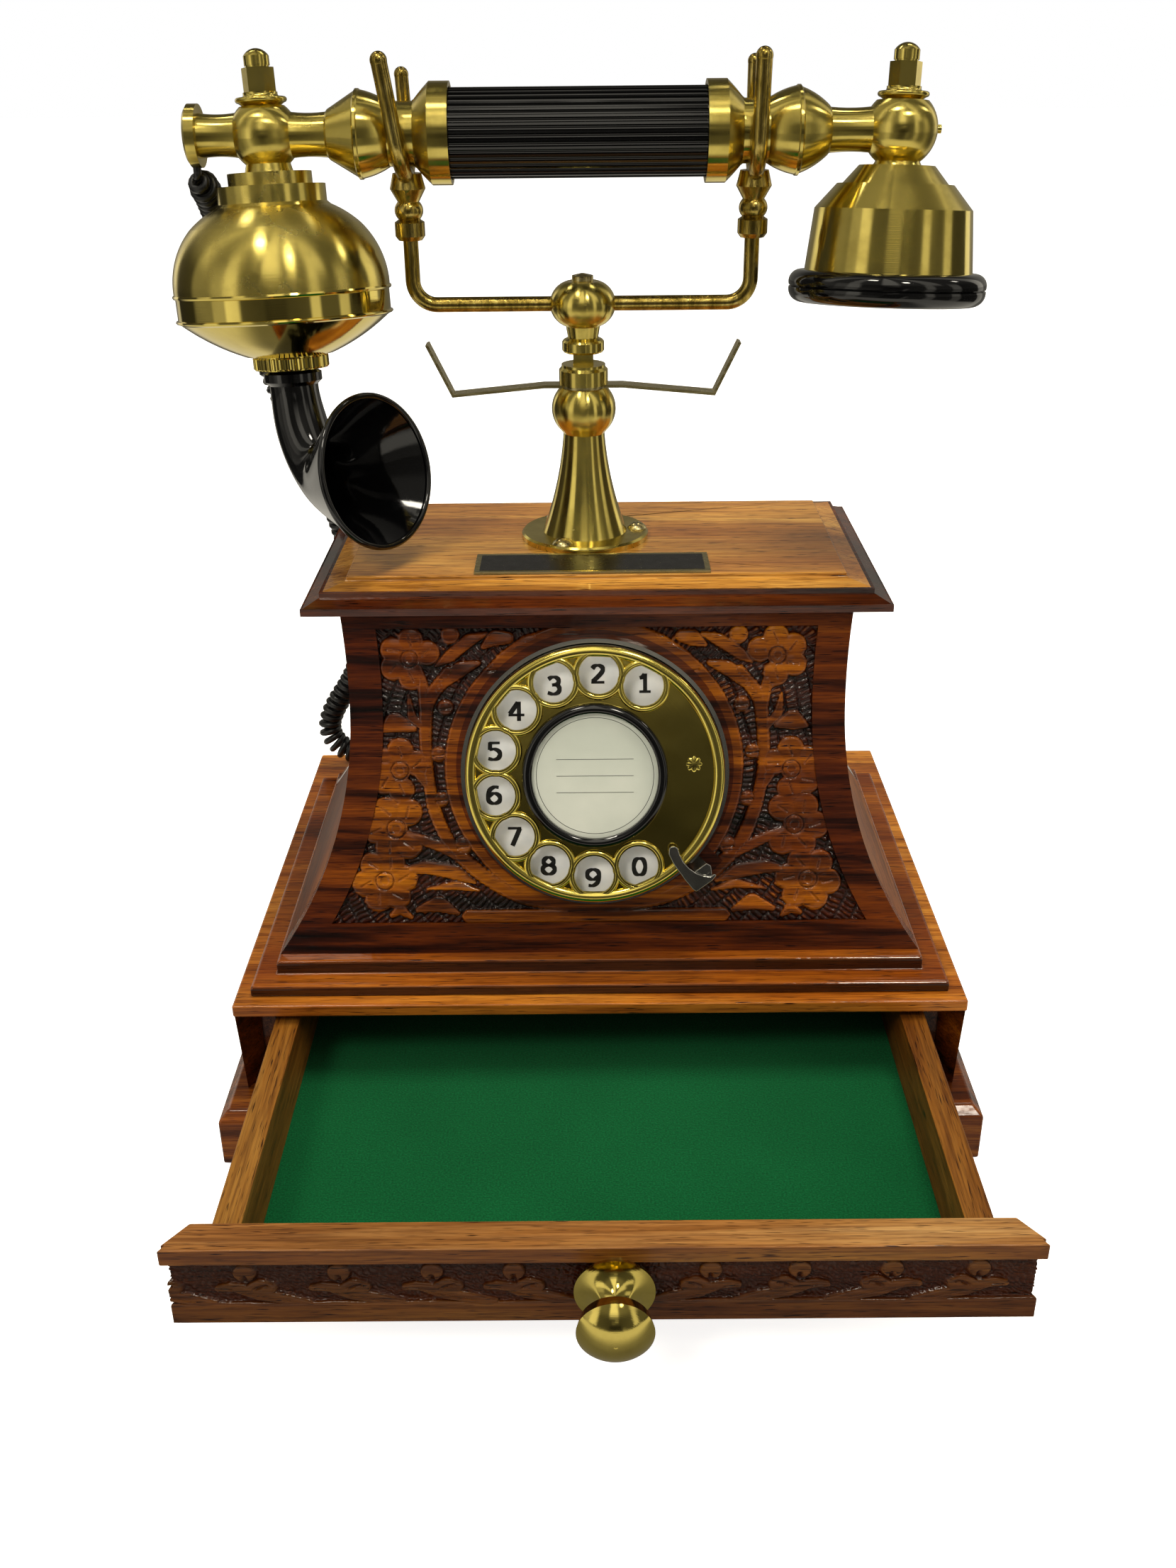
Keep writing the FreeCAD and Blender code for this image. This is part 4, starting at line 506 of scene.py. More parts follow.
# Front panel: one board with its grain across, leaning back, hand carved with two mirrored sprays of flowers
# and leaves round the dial. The tops stay level with the border; the ground is cut back and rowed with a gouge.
streaky_wood = [(0.35, "#180901"), (0.43, "#54300c"), (0.50, "#8a591b"), (0.60, "#b27c2b"), (0.72, "#d6a03f")]
panel_cut = (5.3, 0.10, 0.05)
panel_wood = rosewood("lacquered_rosewood_panel", panel_cut, streaky_wood, "#aa7e34", gloss=0.05,
                      lacquer=0.7)[0]
dress(panel_wood, "front_panel")

panel_foot = Vector((0, -0.0702, 0.0607))
lean = math.radians(17.2)
panel_up = Vector((0, math.sin(lean), math.cos(lean)))
panel_out = Vector((0, -math.cos(lean), math.sin(lean)))
dial_x, dial_up = -0.9, 57.8
carve_foot, carve_top, carve_depth, border = 9.5, 101.0, 1.6, 10.0
waist_half, waist_h, foot_half, neck_half, body_h = 75.3, 71.6, 99.6, 77.8, 103.6
foot_bow = (waist_h ** 2 + (foot_half - waist_half) ** 2) / (2 * (foot_half - waist_half))
neck_bow = ((body_h - waist_h) ** 2 + (neck_half - waist_half) ** 2) / (2 * (neck_half - waist_half))

columns, rows = 640, 330
share_across = np.linspace(-1, 1, columns)
along = np.linspace(carve_foot - 0.05, carve_top + 0.05, rows)
height = along * math.cos(lean)
bow = np.where(height < waist_h, foot_bow, neck_bow)
half_width = waist_half + bow - np.sqrt(bow ** 2 - (height - waist_h) ** 2) - border + 0.05
X = half_width[:, None] * share_across[None, :]
U = X - dial_x
V = np.repeat(along[:, None], columns, axis=1)


def waver(a, b, pitch, seed):
    """A gentle unevenness that never repeats within the board, from four crossing waves."""
    rng = np.random.default_rng(seed)
    total = np.zeros_like(a)
    for _ in range(4):
        angle, phase = rng.uniform(0, 2 * math.pi, 2)
        size = pitch * rng.uniform(0.7, 1.6)
        total += np.sin((a * math.cos(angle) + b * math.sin(angle)) * 2 * math.pi / size + phase)
    return total / 4


class Carving:
    """The depth map of a carved field: how far each point stands above the ground, in millimetres."""

    def __init__(self, a, b, top):
        self.a, self.b, self.top = a, b, top
        self.inside = np.full(a.shape, -9.0)
        self.crown = np.zeros(a.shape)
        self.cut = np.zeros(a.shape)

    def shape(self, reach, crown):
        """Add a motif: reach is how far each point is inside its edge, crown its own fall from the top."""
        better = reach > self.inside
        self.crown = np.where(better, crown, self.crown)
        self.inside = np.maximum(self.inside, reach)

    def stroke(self, points, widths, crown=0.25, bright_side=0):
        """A leaf or stem: circles of changing radius along a bent line, falling away to one side."""
        points = np.array(points, float)
        t = np.linspace(0, 1, 60)
        line = np.stack([np.interp(t, np.linspace(0, 1, len(points)), points[:, k]) for k in (0, 1)], 1)
        for _ in range(6):
            line[1:-1] = (line[:-2] + 2 * line[1:-1] + line[2:]) / 4
        radius = np.interp(t, np.linspace(0, 1, len(widths)), widths)
        reach = np.full(self.a.shape, -9.0)
        side = np.zeros(self.a.shape)
        ahead = np.gradient(line, axis=0)
        ahead /= np.linalg.norm(ahead, axis=1)[:, None]
        for (x, y), r, (dx, dy) in zip(line, radius, ahead):
            da, db = self.a - x, self.b - y
            inside = r - np.hypot(da, db)
            better = inside > reach
            side = np.where(better, (da * -dy + db * dx) / max(r, 0.2), side)
            reach = np.maximum(reach, inside)
        fall = crown * (side * bright_side * 0.5 + 0.5) if bright_side else crown * side ** 2
        self.shape(reach, np.clip(fall, 0, 1.2))

    def petal(self, x, y, r, crown=0.35):
        """A round motif that falls away on all sides."""
        gone = np.hypot(self.a - x, self.b - y)
        self.shape(r - gone, crown * (gone / r) ** 2)

    def groove(self, points, width, depth):
        """An incised line."""
        points = np.array(points, float)
        nearest = np.full(self.a.shape, 99.0)
        for (x0, y0), (x1, y1) in zip(points, points[1:]):
            run = np.hypot(x1 - x0, y1 - y0) ** 2
            t = np.clip(((self.a - x0) * (x1 - x0) + (self.b - y0) * (y1 - y0)) / run, 0, 1)
            nearest = np.minimum(nearest, np.hypot(self.a - x0 - t * (x1 - x0), self.b - y0 - t * (y1 - y0)))
        self.cut = np.maximum(self.cut, depth * np.clip(1 - nearest / width, 0, 1))

    def flower(self, x, y, r, angles):
        """Round petals about a small ringed boss, each with one short cut."""
        for degrees in angles:
            angle = math.radians(degrees)
            cx, cy = x + 0.60 * r * math.cos(angle), y + 0.60 * r * math.sin(angle)
            self.petal(cx, cy, 0.43 * r)
            start, end = angle - 0.10, angle + 0.10
            self.groove([(x + 0.44 * r * math.cos(start), y + 0.44 * r * math.sin(start)),
                         (x + 0.74 * r * math.cos(end), y + 0.74 * r * math.sin(end))], 0.42, 0.55)
        for degrees, following in zip(angles, list(angles[1:]) + [angles[0] + 360]):
            gap = (following - degrees) % 360
            if gap < 85:
                angle = math.radians(degrees + gap / 2)
                self.groove([(x + 0.25 * r * math.cos(angle), y + 0.25 * r * math.sin(angle)),
                             (x + 0.75 * r * math.cos(angle), y + 0.75 * r * math.sin(angle))], 0.45, 0.6)
        gone = np.hypot(self.a - x, self.b - y)
        self.shape(0.34 * r - gone, np.where(gone < 0.13 * r, 0.35, 0.0))
        ring = np.abs(gone - 0.27 * r)
        self.cut = np.maximum(self.cut, 0.6 * np.clip(1 - ring / 0.4, 0, 1))

    def surface(self, ground):
        """Heights above the ground, with the motifs' edges cut down steeply."""
        wall = smooth(-0.15, 0.32, self.inside)
        lip = 0.16 * smooth(0.9, 0.2, self.inside)
        motif = self.top - self.crown - lip - self.cut
        return ground * (1 - wall) + np.maximum(motif, ground * 0.5) * wall, wall


def spray(field, hand, drift):
    """One side's spray: hand is +1 for the right and -1 for the left, drift shifts it a little as by hand."""
    def at(*pairs):
        return [(hand * (u + drift * math.sin(3.1 * v + u)), v + drift * math.cos(2.3 * u)) for u, v in pairs]

    def flower(u, v, r, angles):
        (x, y), = at((u, v))
        turned = angles if hand > 0 else [180 - a for a in reversed(angles)]
        field.flower(x, y, r, turned)

    stem = at((44.0, 87.2), (50.6, 79.5), (51.6, 68.6), (51.9, 57.8), (49.6, 45.5), (45.0, 34.0), (36.0, 24.6),
              (23.4, 17.6), (8.5, 14.0))
    field.stroke(stem, (2.2, 2.3, 2.1, 1.9, 2.2, 2.3, 2.5, 2.4, 2.0), 0.2)
    field.stroke(at((51.2, 77.0), (52.5, 84.0), (54.5, 89.5)), (2.0, 1.7, 1.6), 0.2)
    field.stroke(at((35.0, 90.2), (40.5, 88.4), (46.0, 84.6), (50.0, 80.5)), (1.0, 2.5, 2.2, 1.6), 0.4, hand)
    field.stroke(at((33.0, 98.8), (38.0, 97.0), (44.5, 92.6), (47.8, 90.2)), (0.9, 2.1, 1.9, 0.5), 0.4, hand)
    field.stroke(at((26.5, 98.2), (30.0, 97.6), (33.6, 95.6)), (2.0, 2.6, 0.9), 0.35, hand)
    field.stroke(at((8.0, 100.5), (20.0, 97.5), (29.0, 92.8)), (0.5, 1.7, 0.5), 0.3, hand)
    flower(55.6, 92.2, 9.4, (95, 30, -28, -95, 162))
    field.petal(*at((43.8, 98.6))[0], 3.0)
    field.stroke(at((55.6, 71.0), (60.5, 72.4), (64.6, 70.6)), (1.2, 3.2, 0.9), 0.5, hand)
    field.stroke(at((52.0, 70.0), (56.0, 74.5), (57.0, 80.5)), (1.2, 1.5, 0.5), 0.3, hand)
    flower(60.2, 57.2, 10.0, (92, 30, -35, -92, 160))
    field.stroke(at((51.5, 52.0), (54.0, 57.5), (56.0, 62.0)), (1.2, 2.3, 1.0), 0.4, hand)
    flower(61.4, 40.0, 10.6, (126, 62, -3, -68, -124))
    field.stroke(at((39.6, 28.6), (47.0, 33.4), (53.5, 36.4), (59.0, 38.4)), (1.0, 1.9, 1.8, 1.4), 0.45, hand)
    flower(65.8, 22.6, 10.2, (112, 56, -8, -70, -128, 172))
    field.stroke(at((37.5, 22.4), (44.0, 25.4), (52.0, 26.8), (60.0, 25.8)), (0.7, 2.5, 2.3, 0.9), 0.6, hand)
    field.stroke(at((36.0, 19.6), (43.0, 21.6), (52.0, 19.9)), (0.6, 1.7, 0.5), 0.6, hand)
    field.stroke(at((42.5, 13.0), (48.5, 15.6), (55.0, 13.4)), (0.8, 2.7, 1.0), 0.3, hand)
    field.stroke(at((58.0, 11.2), (60.5, 13.6), (63.5, 12.0)), (0.8, 1.9, 0.9), 0.3)
    buds = (44.9, 77.4, 2.7), (48.3, 62.8, 2.6), (46.8, 48.2, 2.6), (41.0, 33.4, 3.0), (30.0, 88.0, 2.4)
    for u, v, r in buds:
        (x, y), = at((u, v))
        field.petal(x, y, r, 0.6)
        field.groove([(x - 1.6, y - 0.5), (x + 1.6, y - 0.1)], 0.5, 0.7)


field = Carving(U, V, carve_depth - 0.03)
spray(field, 1, 0.0)
spray(field, -1, 0.5)
from_dial = np.hypot(U, V - dial_up)
turn_about = np.arctan2(V - dial_up, U)
band = 45.6 + 0.9 * waver(U, V, 40.0, 3)
field.shape(band - from_dial, np.zeros_like(U))
field.shape(2.2 - np.abs(V - carve_foot - 2.0) - 9 * smooth(40.0, 46.0, np.abs(U)), np.zeros_like(U))

# Gouge rows: cuts 1.65 mm apart run outward from the dial, broken into short rows by each pass of the tool.
row_length, cut_width = 4.4, 1.65
row_at = (from_dial + 1.2 * waver(U, V, 26.0, 5)) / row_length
row = np.floor(row_at)
shift = np.sin(row * 12.9898) * 43758.5453
shift = shift - np.floor(shift)
cuts = turn_about * (row + 0.5) * row_length / cut_width + shift + 0.32 * waver(U, V, 6.0, 7)
ridge = np.abs(np.sin(math.pi * cuts)) ** 0.8
row_edge = smooth(0.0, 0.16, row_at - row) * smooth(1.0, 0.84, row_at - row)
uneven = 0.5 + 0.5 * waver(U, V, 9.0, 11)
ground = 0.10 + (0.30 + 0.62 * uneven) * ridge * row_edge + 0.16 * waver(U, V, 1.7, 13)
relief, wall = field.surface(np.clip(ground, 0.02, 1.25))
# Under the dial, and under the finger stop's foot beside it, the board is left nearly at its full height.
dial_seat_r, stop_seat_reach, stop_seat_half = 42.0, 48.1, 5.6
stop_at = math.radians(-43.5)
pad_u = U * math.cos(stop_at) + (V - dial_up) * math.sin(stop_at)
pad_v = (V - dial_up) * math.cos(stop_at) - U * math.sin(stop_at)
on_pad = (pad_u > 0) & (pad_u < stop_seat_reach) & (np.abs(pad_v) < stop_seat_half)
relief = np.where((from_dial < dial_seat_r) | on_pad, carve_depth - 0.4, relief)
relief += 0.035 * waver(U, V, 5.0, 17) * wall


def relief_piece(name, across, depth, along_axis, material, body, floor_at, origin, out, mitre=0.0):
    """A closed slab from a depth map: carved top, plain sides and a flat back just under the cut ground.
    A mitre draws its ends in by that share of the depth."""
    rows, columns = depth.shape
    under = floor_at + 0.35
    base = np.array(origin)[None, None, :] + along_axis[0][..., None] * np.array(along_axis[1]) * 0.001
    half = np.abs(across).max()
    drawn_in = across * (1 - mitre * (floor_at - depth) / half)
    raised = (depth - floor_at)[..., None] * np.array(out) * 0.001
    top = base + drawn_in[..., None] * np.array((0.001, 0, 0)) + raised
    points = top.reshape(-1, 3).tolist()
    index = np.arange(rows * columns).reshape(rows, columns)
    quads = net(index)
    rim = list(index[0, :]) + list(index[1:, -1]) + list(index[-1, -2::-1]) + list(index[-2:0:-1, 0])
    drawn_in = across * (1 - mitre * under / half)
    low = base + drawn_in[..., None] * np.array((0.001, 0, 0)) - under * 0.001 * np.array(out)
    low = low.reshape(-1, 3)
    first = len(points)
    points += [low[i].tolist() for i in rim]
    count = len(rim)
    for i in range(count):
        k = (i + 1) % count
        quads.append([rim[k], rim[i], first + i, first + k])
    quads.append([first + i for i in reversed(range(count))])
    return new_piece(name, points, quads, material, body)


def painted_depth_shade(tree, shader, tone, stops):
    """Darken a carved wood by its depth, as painted shade in the cuts; the stops run from ground to top."""
    depth_of = add(tree, "Attribute", {"attribute_name": "carved"}, {})
    shade = add(tree, "ValToRGB", {"stops": stops}, {"Fac": depth_of.outputs["Fac"]})
    darker = add(tree, "Mix", {**darkened, 0: 1.0}, {6: tone, 7: shade})
    feed(tree, shader, {"Base Color": darker.outputs[2]})


def mark_depth(piece, relief, top):
    """Keep each carved point's height on the piece, as a share of the full depth."""
    carved = piece.data.attributes.new("carved", "FLOAT", "POINT")
    values = np.full(len(piece.data.vertices), 1.0, np.float32)
    values[:relief.size] = np.clip(relief / top, 0, 1).ravel()
    carved.data.foreach_set("value", values)


carved_wood, tree, shader, tone = rosewood("carved_rosewood_panel", panel_cut, streaky_wood, "#f6d458",
                                           gloss=0.04, lacquer=0.75)
# Painted shade: the panel's carving is darker the deeper it is cut.
painted_depth_shade(tree, shader, tone, [(0.0, "#3a2410"), (0.45, "#6e4c2c"), (0.75, "#ffffff")])
carving = relief_piece("panel_carving", X, relief, (V, tuple(panel_up)), carved_wood, "root", carve_depth,
                       panel_foot, tuple(panel_out))
mark_depth(carving, relief, carve_depth)


# Roof: a moulded board in two steps and the top board, its edges planed to a bevel, under the same lacquer.
mould_wood = rosewood("lacquered_rosewood_moulding", (6.4, 0.07, 0.03), heartwood, "#b08a58")[0]
roof_wood = rosewood("lacquered_rosewood_roof", (7.2, 0.09, -0.02), honey_wood, "#fff2c8", gloss=0.07)[0]
dress(mould_wood, "roof_moulding")
dress(roof_wood, "roof_board")
ease(0.0005, "roof_moulding", "roof_board")


# Brass: the turned pieces are cast, cut on a lathe and polished on a wheel. The polish follows the turning, so
# fine rings stretch each highlight along the piece, and a thin olive tarnish stays between them.
def turned_brass(name, centre, axis, tone="#d6c268", rough=0.17, rings=0.2, tarnish=0.35, brushed=0.85,
                 sway=0.0):
    """Brass turned about a line through centre: brushed is how strongly the cloth's marks draw its highlights
    out, and sway how uneven the sheet or casting is."""
    polish = {"Metallic": 1.0, "Roughness": rough, "Anisotropic": brushed, "Anisotropic Rotation": 0.25}
    brass, tree, shader, place = new_material(name, tone, polish)
    arm = add(tree, "VectorMath", {"operation": "SUBTRACT", 1: centre}, {0: place})
    round_about = add(tree, "VectorMath", {"operation": "CROSS_PRODUCT", 0: axis}, {1: arm})
    tangent = add(tree, "VectorMath", {"operation": "NORMALIZE"}, {0: round_about})
    along = add(tree, "VectorMath", {"operation": "DOT_PRODUCT", 0: axis}, {1: arm})
    radius = add(tree, "VectorMath", {"operation": "LENGTH"}, {0: round_about})
    reach = add(tree, "Math", {"operation": "ADD"}, {0: along.outputs["Value"], 1: radius.outputs["Value"]})
    # Tool marks 0.3 mm apart: real ones are a third of that, too fine to show.
    mark_at = add(tree, "Math", {"operation": "MULTIPLY", 1: 3300.0}, {0: reach})
    marks = add(tree, "TexNoise", {"noise_dimensions": "1D", "Scale": 1.0, "Detail": 2.0}, {"W": mark_at})
    cloud = add(tree, "TexNoise", {"Scale": 90.0, "Detail": 4.0, "Roughness": 0.6}, {"Vector": place})
    dull = add(tree, "MapRange", {"From Min": 0.45, "From Max": 0.75, "To Max": tarnish}, {"Value": cloud})
    mixed = add(tree, "Mix", {"data_type": "RGBA", 6: colour(tone), 7: colour("#8f7a2c")}, {0: dull})
    rubbed = {"From Min": 0.3, "From Max": 0.8, "To Min": rough * 0.8, "To Max": rough * 1.8}
    wear = add(tree, "MapRange", rubbed, {"Value": cloud})
    groove = add(tree, "Bump", {"Strength": rings, "Distance": 0.00004}, {"Height": marks})
    broad = add(tree, "TexNoise", {"Scale": 45.0, "Detail": 1.0}, {"Vector": place})
    groove = add(tree, "Bump", {"Strength": sway, "Distance": 0.0008}, {"Height": broad, "Normal": groove})
    feed(tree, shader, {"Base Color": mixed.outputs[2], "Roughness": wear, "Tangent": tangent,
                        "Normal": groove})
    return brass


post_at = (-0.0034, 0.0021, 0.0)
post_brass = turned_brass("turned_brass_post", post_at, (0, 0, 1))
dress(post_brass, "post_column", "post_nut", "cradle_stem", "cradle_hub")

# Cast brass: the forks and arms come from sand moulds and are filed and buffed by hand, so their skin is
# uneven, a browner olive, with small bright facets along the file strokes.
cast_brass, tree, shader, place = new_material("cast_brass", "#b39b52", {"Metallic": 1.0, "Roughness": 0.22})
filed = add(tree, "VectorMath", {"operation": "MULTIPLY", 1: (1.0, 1.0, 0.22)}, {0: place})
cloud = add(tree, "TexNoise", {"Scale": 420.0, "Detail": 4.0, "Roughness": 0.6}, {"Vector": filed})
tone = add(tree, "ValToRGB", {"stops": [(0.34, "#7d6a2c"), (0.5, "#ac944a"), (0.66, "#ccb76c")]},
           {"Fac": cloud})
wear = add(tree, "MapRange", {"To Min": 0.32, "To Max": 0.14}, {"Value": cloud})
pits = add(tree, "Bump", {"Strength": 0.4, "Distance": 0.0004}, {"Height": cloud})
feed(tree, shader, {"Base Color": tone, "Roughness": wear, "Normal": pits})
dress(cast_brass, "cradle_forks", "cradle_arms")

# Sheet and small brass: the flat strip is cut from rolled sheet and the screws are cut from bar; both are only
# wiped clean, so they are paler and softer than the turnings.
sheet_brass, tree, shader, place = new_material("rolled_brass_sheet", "#cdbf86",
                                                {"Metallic": 1.0, "Roughness": 0.24})
rolled = add(tree, "VectorMath", {"operation": "MULTIPLY", 1: (60.0, 900.0, 900.0)}, {0: place})
lines = add(tree, "TexNoise", {"Scale": 1.0, "Detail": 4.0}, {"Vector": rolled})
tone = add(tree, "ValToRGB", {"stops": [(0.35, "#b5a468"), (0.65, "#d9cc98")]}, {"Fac": lines})
wear = add(tree, "MapRange", {"To Min": 0.18, "To Max": 0.36}, {"Value": lines})
feed(tree, shader, {"Base Color": tone, "Roughness": wear})
dress(sheet_brass, "side_strip", "post_screws", "cradle_screw")


# Handset: a brass bar of turned spindles, balls and finials carries a bell at each end; the bells toe in a
# little. The dome is brushed to a soft shine, and the bowl under it is polished until it mirrors.
handset_at = Vector((-0.0042, 0.0021, 0.29195))
tip = math.radians(-6.0)


def bell_axis(toe_deg):
    """The line through a bell, tipped with the handset and toed in by some degrees."""
    toe = math.radians(toe_deg)
    return Vector((math.sin(toe), -math.sin(tip) * math.cos(toe), math.cos(tip) * math.cos(toe)))


left_axis, right_axis = bell_axis(-2.4), bell_axis(1.9)
left_bell_at = handset_at + Vector((-0.0898, 0, 0))
right_bell_at = handset_at + Vector((0.0922, 0, 0))
bar_brass = turned_brass("turned_brass_bar", tuple(handset_at), (1, 0, 0))
mouth_brass = turned_brass("turned_brass_transmitter", tuple(left_bell_at), tuple(left_axis), rough=0.21,
                           rings=0.3)
bowl_brass = turned_brass("polished_brass_bowl", tuple(left_bell_at), tuple(left_axis), rough=0.07, rings=0.12,
                          tarnish=0.2, brushed=0.5)
ear_brass = turned_brass("turned_brass_receiver", tuple(right_bell_at), tuple(right_axis), rough=0.14,
                         rings=0.3)
dress(bar_brass, "spindles", "grip_ferrules", "cord_flange", "tee_balls", "tee_finials")
dress(mouth_brass, "transmitter_dome")
dress(bowl_brass, "transmitter_bowl", "horn_nut")
dress(ear_brass, "receiver_bell")

# The nut under the bowl is knurled: 44 fine ridges, rolled in with a wheel, that catch the light one by one.
ridge_points, ridge_faces = [], []
nut_x = left_axis.orthogonal().normalized()
nut_y = left_axis.cross(nut_x)
ridges, nut_r, ridge_rise, valley_rise = 44, 0.0109, 0.00038, 0.00008
for k in range(4 * ridges):
    angle = 2 * math.pi * k / (4 * ridges)
    reach = nut_r + (valley_rise, ridge_rise, ridge_rise, valley_rise)[k % 4]
    outward = (nut_x * math.cos(angle) + nut_y * math.sin(angle)) * reach
    for drop, draw in ((0.0609, 0.97), (0.0613, 1.0), (0.0642, 1.0), (0.0646, 0.97)):
        ridge_points.append(left_bell_at + outward * draw - left_axis * drop)
for k in range(4 * ridges):
    here, there = 4 * k, 4 * ((k + 1) % (4 * ridges))
    for i in range(3):
        ridge_faces.append((here + i, there + i, there + i + 1, here + i + 1))
ridge_faces.append(tuple(4 * k for k in reversed(range(4 * ridges))))
ridge_faces.append(tuple(4 * k + 3 for k in range(4 * ridges)))
knurl = new_piece("nut_knurl", ridge_points, ridge_faces, bowl_brass, "handset", False)

# Grip: fluted black phenolic sleeve, pressed in a hot mould, with a smooth, glossy skin.
grip_black, tree, shader, place = new_material("pressed_phenolic_grip", "#040405",
                                               {"Roughness": 0.1, "IOR": 1.6})
smeared(tree, shader, place, 700.0, 3.0, 0.06, 0.13)
dress(grip_black, "grip_sleeve")

# Horn and ear cap: black phenolic too, but polished on a wheel, so they mirror the lamps sharply.
gloss_black, tree, shader, place = new_material("polished_phenolic", "#040405", {"Roughness": 0.06, "IOR": 1.6})
smeared(tree, shader, place, 60.0, 4.0, 0.03, 0.11)
dress(gloss_black, "mouth_horn", "receiver_cap", "label_ring", "cord_grommet", "line_jack")


# Dial: a spun nickel dish behind a white enamelled number plate; in front a brass finger wheel, spun over a
# form so that its outer edge and the ten holes have rolled rims, polished bright on a plain darker plate.
dial_at = Vector((-0.0009, -0.053108, 0.115915))
across_dial = Vector((1, 0, 0))


def on_dial(a, b, w):
    """A point from its place on the dial in millimetres: to the right, up the panel, and out of it."""
    return dial_at + (across_dial * a + panel_up * b + panel_out * w) * 0.001


wheel_brass = turned_brass("spun_brass_wheel", tuple(dial_at), tuple(panel_out), tone="#c9b65c", rough=0.09,
                           rings=0.1, tarnish=0.5, brushed=0.3, sway=0.5)
dress(wheel_brass, "finger_wheel")
rim_brass = turned_brass("rolled_brass_rim", tuple(dial_at), tuple(panel_out), tone="#ead66e", rough=0.12,
                         rings=0.08, tarnish=0.1, brushed=0.4)
wheel_top, wheel_r, rim_half, rim_rise = 12.7, 0.0388, 0.0017, 0.0012
outer_rim = [(wheel_r - rim_half + rim_half * math.cos(math.radians(a)), rim_rise * math.sin(math.radians(a)))
             for a in range(-20, 201, 20)]
rim = turning("wheel_rim", outer_rim, on_dial(0, 0, wheel_top - 0.05), panel_out, rim_brass, "finger_wheel",
              192)
hole_r, hole_rim_half, hole_rim_rise = 0.0069, 0.0010, 0.0009
holes_from_centre, first_hole_deg, hole_step_deg = 30.4, 61.5, 25.94
hole_rim = [(hole_r + hole_rim_half * math.cos(math.radians(a)), hole_rim_rise * math.sin(math.radians(a)))
            for a in range(0, 181, 20)]
for i in range(10):
    angle = math.radians(first_hole_deg + hole_step_deg * i)
    at = on_dial(holes_from_centre * math.cos(angle), holes_from_centre * math.sin(angle), wheel_top + 0.1)
    rim = turning("hole_rim_%d" % i, hole_rim, at, panel_out, rim_brass, "finger_wheel", 64)

nickel, tree, shader, place = new_material("plated_nickel", "#bdbcb6", {"Metallic": 1.0, "Roughness": 0.14})
smeared(tree, shader, place, 150.0, 4.0, 0.06, 0.28)
dress(nickel, "dial_dish", "finger_stop", "dial_shaft", "ringer_gongs")

# The finger stop ends in a flat hook cut from nickel-plated sheet, on a cheek that rises beside the wheel.
def sheet_plate(name, outline, low, high, material):
    """A flat plate with a dial outline in millimetres, between two heights over the dial."""
    count = len(outline)
    points = [on_dial(a, b, w) for w in (low, high) for a, b in outline]
    faces = [tuple(reversed(range(count))), tuple(range(count, 2 * count))]
    faces += [(i, (i + 1) % count, count + (i + 1) % count, count + i) for i in range(count)]
    made = new_piece(name, points, faces, material, "root", False)
    soft = made.modifiers.new("eased_edges", "BEVEL")
    soft.width = 0.0003
    soft.segments = 3
    soft.limit_method = "ANGLE"
    soft.harden_normals = True


hook_inner = [(21.9, -21.8), (22.6, -21.2), (23.6, -21.1), (24.6, -21.8), (25.1, -23.6), (26.2, -25.9),
              (28.1, -28.0), (30.1, -29.4), (32.2, -30.2), (34.4, -30.5), (35.6, -29.6), (36.2, -30.2)]
hook_outer = [(34.9, -31.8), (32.4, -33.6), (30.1, -35.2), (29.0, -34.4), (26.7, -31.6), (24.8, -28.9),
              (23.0, -26.2), (21.8, -23.6)]
cheek = [(29.4, -29.4), (29.2, -31.6), (31.0, -33.4), (33.0, -32.2), (35.0, -30.4), (34.6, -27.4),
         (33.2, -26.6)]
cheek_foot, hook_under, hook_top = 13.2, 14.4, 15.6
sheet_plate("stop_hook", list(reversed(hook_inner + hook_outer)), hook_under, hook_top, nickel)
sheet_plate("stop_cheek", cheek, cheek_foot, hook_under, nickel)

# The enamel is bluish white and glossy, a little cloudy where it ran thin in the kiln.
def mottled(tree, shader, place, scale, detail, stops):
    """Let the colour wander in patches between the given stops."""
    patch = add(tree, "TexNoise", {"Scale": scale, "Detail": detail}, {"Vector": place})
    tone = add(tree, "ValToRGB", {"stops": stops}, {"Fac": patch})
    feed(tree, shader, {"Base Color": tone})


enamel, tree, shader, place = new_material("baked_white_enamel", "#d6dbe2", {"Roughness": 0.3, "IOR": 1.5})
mottled(tree, shader, place, 160.0, 3.0, [(0.35, "#e4e9ee"), (0.65, "#f3f6f8")])
dress(enamel, "number_plate")

# The numbers are printed in black through a screen and baked: plain upright figures, 5.8 mm tall.
ink_black, tree, shader, place = new_material("screen_printed_ink", "#0d0d0e", {"Roughness": 0.4, "IOR": 1.5})
mottled(tree, shader, place, 900.0, 2.0, [(0.3, "#080809"), (0.7, "#1b1b1c")])
figure_h = 5.8
figures = [("1", 14.9, 27.0), ("2", 1.0, 29.9), ("3", -12.1, 26.5), ("4", -23.4, 18.9), ("5", -30.2, 6.9),
           ("6", -30.5, -6.5), ("7", -24.5, -19.2), ("8", -14.3, -28.4), ("9", -0.8, -32.2), ("0", 13.3, -28.9)]
